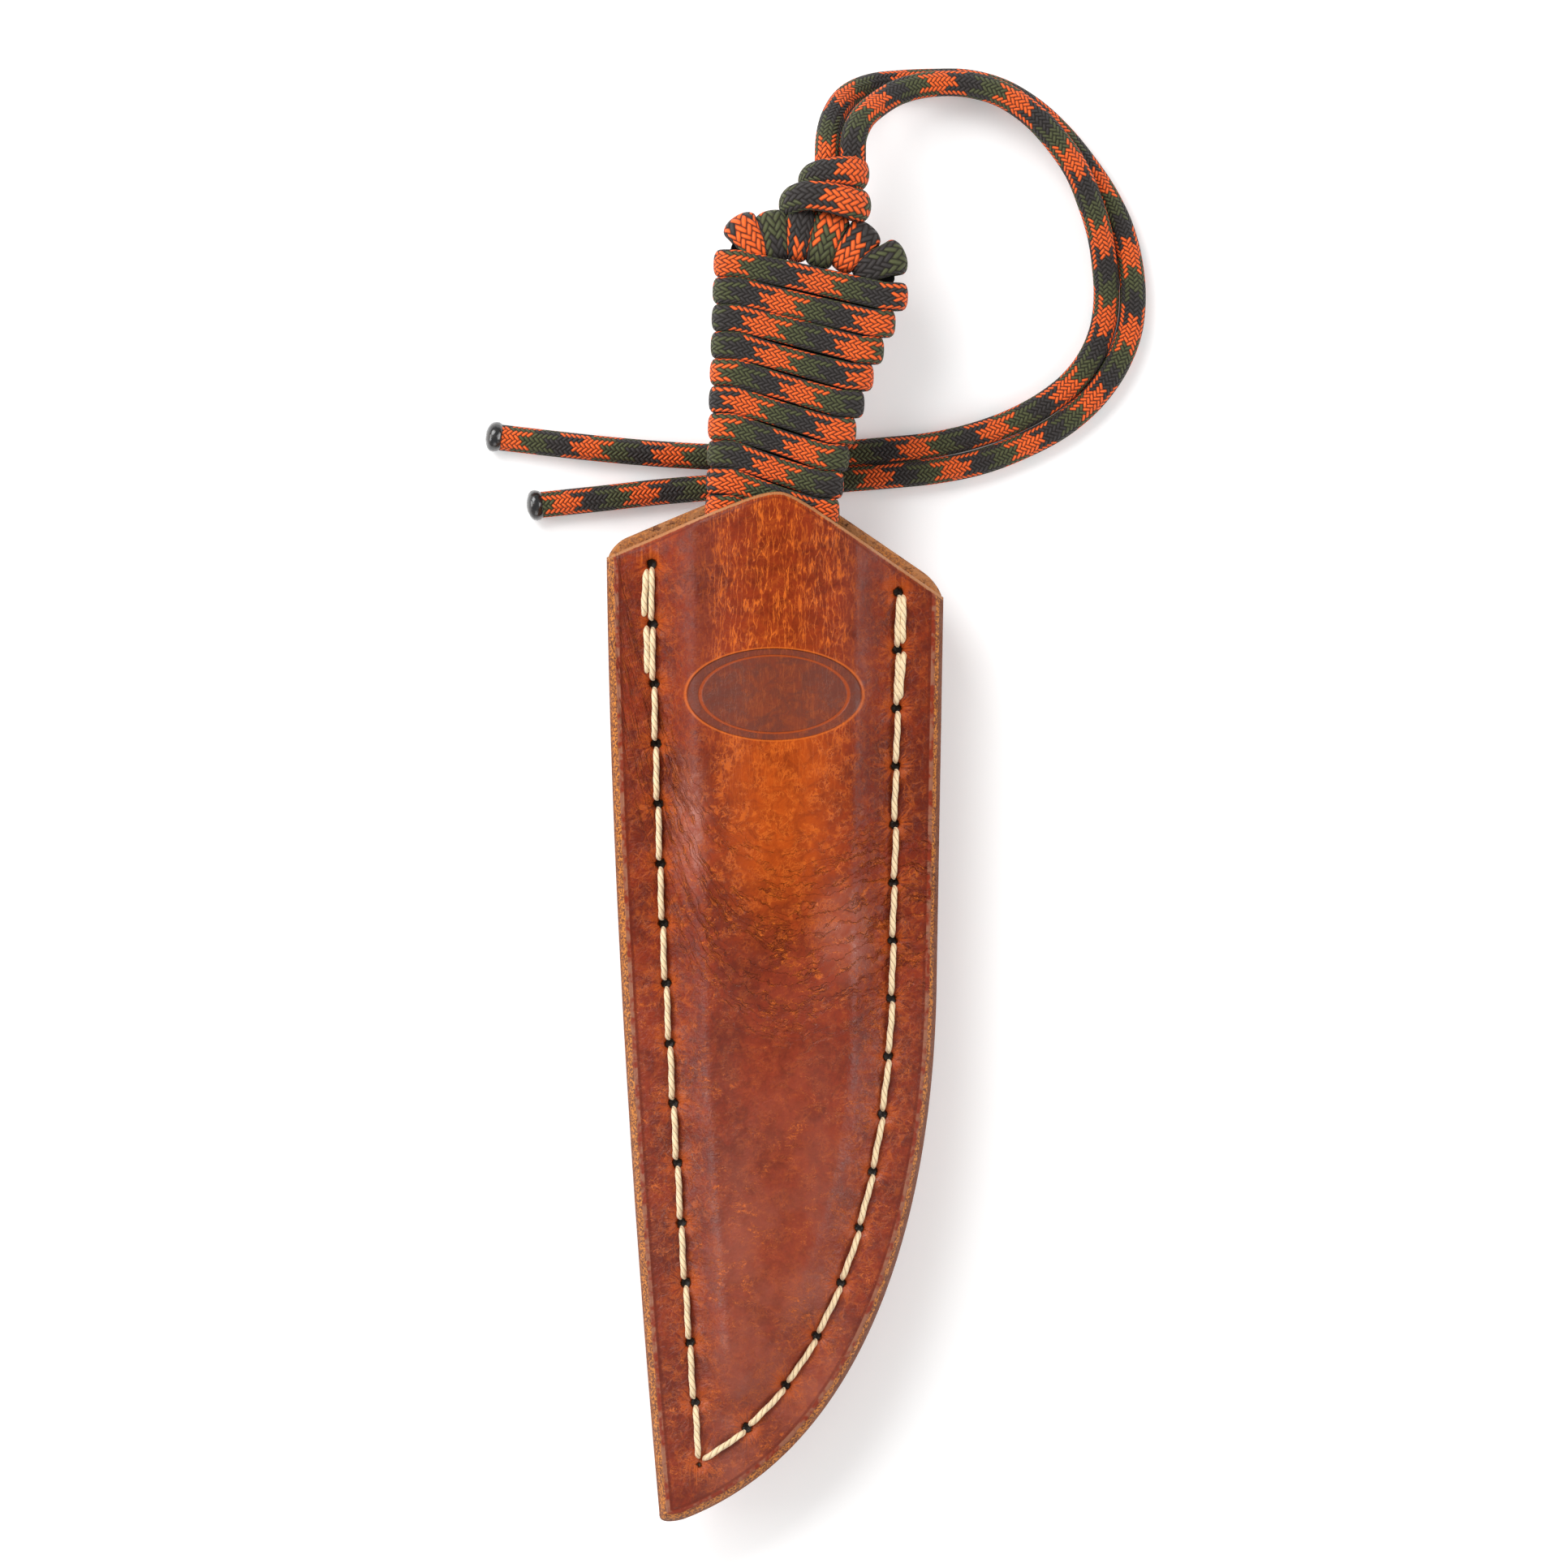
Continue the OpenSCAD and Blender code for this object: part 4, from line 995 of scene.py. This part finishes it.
LOWER_TURN = ((1.8, 95.3, 14.2), (2.6, 96.0, 16.8), (4.7, 96.5, 18.3), (7.6, 96.3, 18.7), (10.4, 95.7, 18.4),
              (12.5, 95.2, 17.0), (13.2, 95.1, 14.2), (12.4, 95.3, 11.2), (10, 95.8, 9.9), (7.4, 96.0, 9.6),
              (4.6, 95.8, 10.0), (2.7, 95.4, 11.3))
UPPER_TURN = ((4.7, 98.9, 14.1), (5.4, 99.6, 16.2), (7.2, 100.0, 17.6), (9.4, 100.2, 17.9), (11.4, 100.15, 17.3),
              (12.6, 100.0, 15.9), (12.9, 99.9, 14.0), (12.2, 99.8, 12.0), (10.2, 99.9, 10.7), (7.8, 99.8, 10.7),
              (5.6, 99.3, 12.0))


class KNIFE_OT_knot(PieceOperator, bpy.types.Operator):
    """The two turns of the lanyard knot and the strands inside it."""
    bl_idname = "knife.knot"
    bl_label = "Lanyard knot"

    def execute(self, context):
        rings = []
        for i, (points, narrow, broad, shift) in enumerate(((LOWER_TURN, 4.3, 4.9, 3.1), (UPPER_TURN, 3.6, 5.0, 2.2))):
            line = closed_line(points, 84)
            middle = line.mean(0)
            up = (line - middle) * [1, 0.15, 1]
            share = (line[:, 0] - line[:, 0].min()) / np.ptp(line[:, 0])
            rings.append(closed_band(f"turn_{i}", line, up, mix(narrow, broad, share), 2.5,
                                     round(length_of(line) / 13.5), shift, 0.05, 0.9))
        for k, (dx, z) in enumerate(((-2.0, 14.2), (1.7, 14.6), (0.1, 12.4))):
            p = even([(6.4 + dx * 0.7, 92.6, z), (7.0 + dx, 96.0, z), (8.6 + dx, 99.8, z)], 0.5)
            _, side, up = line_frames(p)
            rings.append(swept(f"core_{k}", p, side, up, flat_profile(3.6, 3.4, 24, 1.0), run_of(p) + 4 * k))
        piece = joined(rings, "knot_cord")
        finish_piece(piece, [braid_finish(True)], "knife", "lanyard_knot")
        return {"FINISHED"}


class KNIFE_OT_steel(PieceOperator, bpy.types.Operator):
    """Satin finish on the blade and tang."""
    bl_idname = "knife.steel"
    bl_label = "Blade"

    def execute(self, context):
        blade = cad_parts["blade"]
        blade.data.materials.clear()
        blade.data.materials.append(steel_finish())
        return {"FINISHED"}


# ---- leather panels ----
EDGE_STEPS = np.array([0, 0.12, 0.3, 0.55, 0.85, 1.2, 1.6, 1.95, 2.2, 2.6, 3.2, 3.9, 4.7, 5.5, 6.2, 6.8, 7.4, 8.2, 9.1])


def front_grid():
    """Points in plan across and down the front panel, closer together at its edges and seam."""
    n, toe = 300, 24
    t_main = np.linspace(0, 1, n + 1)
    end = POCKET_END
    grid = []
    core = ((1 - np.cos(np.linspace(0, math.pi, 73))) / 2)[1:-1]
    k = EDGE_STEPS / BORDER
    for u in t_main:
        tl, tr = u * end[0], u * end[1]
        l, r = inset_at(-1, BORDER, tl), inset_at(1, BORDER, tr)
        left, right = mix(side_at(-1, tl), l, k[:, None]), mix(side_at(1, tr), r, k[:, None])[::-1]
        grid.append(np.concatenate([left, mix(l, r, core[:, None]), right]))
    share = np.concatenate([k * 0.48, 0.48 + 0.04 * core, 1 - k[::-1] * 0.48])
    for i in range(1, toe + 1):
        u = i / toe
        if u <= 0.8:
            a = side_at(-1, np.array(mix(end[0], 1, u / 0.8)))
            b = side_at(1, np.array(mix(end[1], 1, u / 0.8)))
        else:
            a, b = toe_at(np.array((u - 0.8) / 0.4)), toe_at(np.array(1 - (u - 0.8) / 0.4))
        grid.append(mix(a, b, share[:, None]))
    g = np.array(grid)
    t = np.concatenate([t_main * 0.93, np.full(toe, 1.0)])
    g[..., 1] += (mouth_y(g[0, :, 0]) - g[0, :, 1])[None] * (np.maximum(0, 1 - t / 0.411) ** 2)[:, None]
    return g


class KNIFE_OT_front(PieceOperator, bpy.types.Operator):
    """Moulded front panel, with its edges rounded and its seam pressed in."""
    bl_idname = "knife.front"
    bl_label = "Front panel"

    def execute(self, context):
        g = front_grid()
        m, n = g.shape[:2]
        p = g.reshape(-1, 2)
        edge = np.full(len(p), 1e9)
        for side, toe in ((-1, 0), (1, 1)):
            line = np.concatenate([side_at(side, np.linspace(0, 1, 160)), toe_at(np.linspace(toe, 0.5, 8))])
            # The side runs on past the mouth's corner, so that the edge stays square there
            line = np.concatenate([[line[0] + (line[0] - line[1]) * 20], line])
            edge = np.minimum(edge, to_line(p, line)[0])
        x = np.linspace(LEFT_TOP[0], RIGHT_TOP[0], 240)
        mouth = to_line(p, np.stack([x, mouth_y(x)], -1))[0]
        seam, along = to_line(p, SEAM)
        inner = edge - BORDER
        over_handle = ease((p[:, 1] + 22) / 20)
        slope = mix(3.6, 4.3, over_handle)
        span = np.abs((g[:, -1] - g[:, 0])[:, None, 0] * np.ones((1, n))).reshape(-1) / 2 - BORDER
        roof = mix(BLADE_ROOF, HANDLE_ROOF, over_handle) * np.clip(span / slope, 0, 1)
        low = roof * np.sin(math.pi / 2 * np.clip(inner / slope, 0, 1))

        def field(points, sx, sy, seed):
            """Smooth random heights over the panel."""
            return np.array([noise.noise(Vector((a * sx, b * sy, seed))) for a, b in points])

        def shoulder(sway):
            """Softer outside than in the pocket, because the leather bends round the knife."""
            return roof * np.sin(math.pi / 2 * np.clip((inner + 2.2 + sway) / (slope + 2.6), 0, 1)) ** 1.6

        # The foot of the shoulder wanders
        sway = 0.8 * field(p[:, ::-1], 0.07, 0.03, 1.7) + 0.35 * field(p[:, ::-1], 0.3, 0.1, 6.2)
        height = mix(shoulder(0), shoulder(sway), ease((3.5 - inner) / 2))
        # A slight crown all the way across, so the shoulders are not sharp
        crown = 1 - ((span - np.clip(inner, 0, span)) / np.maximum(span, 1)) ** 2
        height = np.where(span > 1, height * mix(0.80, 1.0, crown), height)
        top = BORDER_Z + height
        top -= 0.22 * np.exp(-(seam / 1.0) ** 2)
        step = (np.mod(along + 0.5, 1) - 0.5) * STITCH
        reach = np.sqrt(step ** 2 + seam ** 2)
        top -= 0.95 * np.exp(-(reach / 0.85) ** 2)
        top += 0.14 * np.exp(-((reach - 1.9) / 0.8) ** 2)
        top -= 2.1 * (1 - np.clip(edge / 2.0, 0, 1)) ** 2.2
        top -= 0.12 * np.exp(-((edge - 2.15) / 0.28) ** 2)
        top -= 0.9 * (1 - np.clip(mouth / 0.9, 0, 1)) ** 2
        waves, fine = field(p, 0.16, 0.10, 3.1), field(p, 0.55, 0.42, 8.7)
        off = p[:, 0] - CENTRE[0] - 1.5
        sag = p[:, 1] - CENTRE[1] - off ** 2 * (0.042 - 0.0013 * off)
        folds = np.sin(sag * 1.5 + 3.0 * waves) * ease((sag + 34) / 14) * ease((4 - sag) / 12)
        top += ease((edge - 2.4) / 2.0) * (0.16 * waves + 0.07 * fine + 0.12 * folds)
        top = np.minimum(top, BORDER_Z + HANDLE_ROOF)
        verts = np.concatenate([np.column_stack([p - CENTRE, z]) for z in (top, FRONT_Z + low)])
        index = np.arange(m * n).reshape(m, n)
        a = index[:-1, :-1].ravel()
        quads = np.stack([a, a + n, a + n + 1, a + 1], -1)
        rim = np.concatenate([index[0], index[1:, -1], index[-1, -2::-1], index[-2:0:-1, 0]])
        after = np.roll(rim, -1)
        walls = np.stack([rim, after, after + m * n, rim + m * n], -1)
        faces = np.concatenate([quads, quads[:, ::-1] + m * n, walls]).tolist()
        values = {"edge_in": edge, "mouth_in": mouth, "seam_along": along, "seam_across": seam}
        panel = new_piece("front_panel", verts, faces, values={key: np.tile(v, 2) for key, v in values.items()})
        outward(panel, merge=1e-6)
        finish_piece(panel, [sheath_finish(), raw_finish()], "sheath", "sheath_front")
        # Underneath and on the cut walls the leather is raw
        normals = np.zeros(len(panel.data.polygons) * 3)
        panel.data.polygons.foreach_get("normal", normals)
        panel.data.polygons.foreach_set("material_index", (normals.reshape(-1, 3)[:, 2] < 0.12).astype(np.int32))
        return {"FINISHED"}


def layer(name, outline, z, thick, bevel):
    """A flat layer of leather: its outline filled, extruded and given soft edges."""
    points = np.concatenate([outline - CENTRE, np.full((len(outline), 1), z)], 1)
    obj = new_piece(name, points, [list(range(len(points)))], smooth=False)
    outward(obj, extrude=thick)
    only(obj)
    modifier = obj.modifiers.new("soft_edge", "BEVEL")
    modifier.width = bevel * MM
    modifier.segments = 3
    modifier.limit_method = "ANGLE"
    modifier.angle_limit = math.radians(55)
    bpy.ops.object.modifier_apply(modifier="soft_edge")
    bpy.ops.object.shade_smooth_by_angle(angle=math.radians(40))
    clear_selection()
    return obj


class KNIFE_OT_back(PieceOperator, bpy.types.Operator):
    """Back panel, standing a little above the front at the mouth."""
    bl_idname = "knife.back"
    bl_label = "Back panel"

    def execute(self, context):
        panel = layer("back_panel", panel_outline(MOUTH_STEP), BACK_Z, BACK_T, 0.7)
        finish_piece(panel, [panel_finish(), raw_finish()], "sheath", "sheath_back")
        for face in panel.data.polygons:
            face.material_index = 0 if face.normal.z < -0.3 else 1
        return {"FINISHED"}


class KNIFE_OT_welts(PieceOperator, bpy.types.Operator):
    """Welts between the panels, one down the spine and one down the edge."""
    bl_idname = "knife.welts"
    bl_label = "Welts"

    def execute(self, context):
        for side, name, node in ((-1, "spine_welt_strip", "spine_welt"), (1, "edge_welt_strip", "edge_welt")):
            end = POCKET_END[0 if side < 0 else 1]
            outer = side_at(side, np.linspace(0, 1, 90))
            inner = inset_at(side, BORDER, np.linspace(0, end, 60))
            for line in (outer, inner):
                line[0, 1] = float(mouth_y(line[0, 0])) - 0.5
            toe = toe_at(np.linspace(0, 0.5, 6)) if side < 0 else toe_at(np.linspace(1, 0.5, 6))
            strip = layer(name, np.concatenate([outer, toe[1:], inner[::-1]]), WELT_Z, WELT_T, 0.35)
            finish_piece(strip, [raw_finish()], "sheath", node)
        return {"FINISHED"}


# ---- thread ----
def thread_tube(name, line, d):
    """A length of three-ply thread along a line, its plies standing out."""
    p = even(line, 0.24)
    _, side, up = line_frames(p)
    run = run_of(p)
    a = np.linspace(0, 2 * math.pi, 15)[:-1]
    r = d / 2 * (0.93 + 0.10 * np.cos(3 * (a[None] - 2 * math.pi * run[:, None] / (3 * THREAD_TWIST)) - math.pi))
    profile = np.stack([r * np.cos(a), r * np.sin(a)], -1)
    return swept(name, p, side, up, profile, run)


def stitch_line(a, b, z, rng, deep=1.1):
    """From one hole to the next over the surface, pulled tight at both ends."""
    run = unit(b - a)
    off = np.array([-run[1], run[0]])
    length = np.linalg.norm(b - a)
    bow = rng.uniform(-0.10, 0.10)
    q = []
    s = math.copysign(1, z[1] - z[0])
    lift = z[0]
    for u, h in ((0.095, -deep), (0.105, -0.6), (0.135, -0.1), (0.21, 0.14), (0.5, 0.16), (0.79, 0.14), (0.865, -0.1),
                 (0.895, -0.6), (0.905, -deep)):
        at = a + run * (u * length) + off * (bow * math.sin(math.pi * u) + 0.34 * (0.5 - u) - 0.12)
        q.append([at[0] - CENTRE[0], at[1] - CENTRE[1], lift + s * h])
    return q


class KNIFE_OT_seam(PieceOperator, bpy.types.Operator):
    """Saddle stitches, every gap filled on both faces, and the back stitches at the mouth."""
    bl_idname = "knife.seam"
    bl_label = "Seam"

    def execute(self, context):
        d = context.scene.knife_thread.diameter / MM
        rng = random.Random(5)
        face = (BORDER_Z + 0.16, BORDER_Z + 1)
        behind = (BACK_Z - 0.14, BACK_Z - 1)
        for phase, node in ((0, "seam_thread_a"), (1, "seam_thread_b")):
            parts = []
            for i in range(len(SEAM) - 1):
                z = face if i % 2 == phase else behind
                parts.append(thread_tube(f"stitch_{phase}_{i}", stitch_line(SEAM[i], SEAM[i + 1], z, rng), d))
            piece = joined(parts, "stitches_" + "ab"[phase])
            finish_piece(piece, [thread_finish()], "sheath", node)
        parts = []
        for row, side in ((LEFT_ROW, -1), (RIGHT_ROW, 1)):
            run = unit(row[2] - row[1])
            out = 1.05 * side * np.array([-run[1], run[0]])
            for s0, s1, o0, o1 in ((-0.99, -0.06, 0.7, 1.0), (-0.02, 0.9, 1.0, 0.75)):
                a, b = row[1] + s0 * STITCH * run + out * o0, row[1] + s1 * STITCH * run + out * o1
                parts.append(thread_tube("lock", stitch_line(a, b, face, rng), d))
            a, b = row[1] - 0.55 * STITCH * run + out, row[1] + 0.55 * STITCH * run + out
            parts.append(thread_tube("lock", stitch_line(a, b, behind, rng), d))
        piece = joined(parts, "locking_stitches")
        finish_piece(piece, [thread_finish()], "sheath", "lock_stitches")
        return {"FINISHED"}


# ---- belt loop ----
STRAP_X, STRAP_TOP, STRAP_W, STRAP_T, BELT_GAP = 11.0, COVER_L - 15, 26.0, 2.4, 4.8
RAMP_L, FOOT_L = 6.0, 12.0
STRAP_L = 48 + 2 * (RAMP_L + FOOT_L)


class KNIFE_OT_belt_loop(PieceOperator, bpy.types.Operator):
    """Strap across the back, with its two sewn feet."""
    bl_idname = "knife.belt_loop"
    bl_label = "Belt loop"

    def execute(self, context):
        a, b = STRAP_TOP - STRAP_L, STRAP_TOP
        half = STRAP_T / 2
        low, high = half, BELT_GAP + half
        middle = [(b, high), (b - 1, high), (b - 4, high), (b - FOOT_L + 1.5, high),
                  (b - FOOT_L - 1.6, mix(high, low, 0.28)), (b - FOOT_L - RAMP_L + 1.6, mix(high, low, 0.72)),
                  (b - FOOT_L - RAMP_L - 1.5, low), (b - 26, low), (b - STRAP_L / 2, low)]
        middle += [(a + b - y, z) for y, z in middle[-2::-1]]
        line = even([(0, y, z) for y, z in middle], 0.8)
        line[:, 2] = np.clip(line[:, 2], low, high)
        t = unit(np.gradient(line, axis=0))
        up = np.stack([0 * t[:, 0], -t[:, 2], t[:, 1]], -1)
        up *= np.sign(up[:, 2:])
        side = np.repeat([[1.0, 0, 0]], len(line), 0)
        centre = line + [STRAP_X - CENTRE[0], -CENTRE[1], 0]
        corner = []
        for quarter, (sx, sz) in enumerate(((1, 1), (-1, 1), (-1, -1), (1, -1))):
            for w in np.radians(90 * quarter + 22.5 * np.arange(5)):
                corner.append([sx * (STRAP_W / 2 - 0.7) + 0.7 * math.cos(w), sz * (half - 0.7) + 0.7 * math.sin(w)])
        # A little narrower at both ends
        k = np.arange(len(line))
        shrink = 1 - 0.10 * np.maximum(0, 1 - np.minimum(k, k[::-1]) * 0.8 / 3.0) ** 2
        tapered = np.array(corner)[None] * np.stack([shrink, 0 * shrink + 1], -1)[:, None]
        strap = swept("belt_strap", centre, side, up, tapered, k * 0.8)
        outward(strap)
        only(strap)
        bpy.ops.object.shade_smooth_by_angle(angle=math.radians(50))
        finish_piece(strap, [panel_finish(), raw_finish()], "sheath", "belt_loop")
        for face in strap.data.polygons:
            face.material_index = 1 if abs(face.normal.x) > 0.8 or len(face.vertices) > 4 else 0
        rng = random.Random(9)
        parts = []
        d = context.scene.knife_thread.diameter / MM
        for y in (STRAP_TOP - FOOT_L / 2, STRAP_TOP - STRAP_L + FOOT_L / 2):
            for x in (-10, -5, 0, 5):
                p, q = np.array([STRAP_X + x, y]), np.array([STRAP_X + x + 5, y])
                parts.append(thread_tube("foot", stitch_line(p, q, (BELT_GAP - 0.12, BELT_GAP - 1), rng, 0.9), d))
                parts.append(thread_tube("foot", stitch_line(p, q, (WELT_Z - 0.75, WELT_Z), rng, 0.5), d))
        piece = joined(parts, "foot_stitches")
        finish_piece(piece, [thread_finish()], "sheath", "belt_loop_thread")
        return {"FINISHED"}


SETTINGS = {"knife_cord": KnifeCordSettings, "knife_leather": KnifeLeatherSettings, "knife_thread": KnifeThreadSettings,
            "knife_stage": KnifeStageSettings}
STEPS = [KNIFE_OT_stage, KNIFE_OT_lanyard, KNIFE_OT_handle, KNIFE_OT_butt_ring, KNIFE_OT_knot, KNIFE_OT_steel,
         KNIFE_OT_front, KNIFE_OT_back, KNIFE_OT_welts, KNIFE_OT_seam, KNIFE_OT_belt_loop]


class KNIFE_PT_panel(bpy.types.Panel):
    """Settings and one button for each piece."""
    bl_label = "Sheath knife"
    bl_idname = "KNIFE_PT_panel"
    bl_space_type = "VIEW_3D"
    bl_region_type = "UI"
    bl_category = "Sheath knife"

    def draw(self, context):
        for name, group in SETTINGS.items():
            box = self.layout.box()
            for key in group.__annotations__:
                box.prop(getattr(context.scene, name), key)
        for step in STEPS:
            self.layout.operator(step.bl_idname)


def register():
    for cls in (*SETTINGS.values(), *STEPS, KNIFE_PT_panel):
        bpy.utils.register_class(cls)
    for name, group in SETTINGS.items():
        setattr(bpy.types.Scene, name, bpy.props.PointerProperty(type=group))


def unregister():
    for name in SETTINGS:
        delattr(bpy.types.Scene, name)
    for cls in (KNIFE_PT_panel, *reversed(STEPS), *SETTINGS.values()):
        bpy.utils.unregister_class(cls)


def main():
    register()
    for step in STEPS:
        group, name = step.bl_idname.split(".")
        getattr(getattr(bpy.ops, group), name)()


if __name__ == "__main__":
    main()
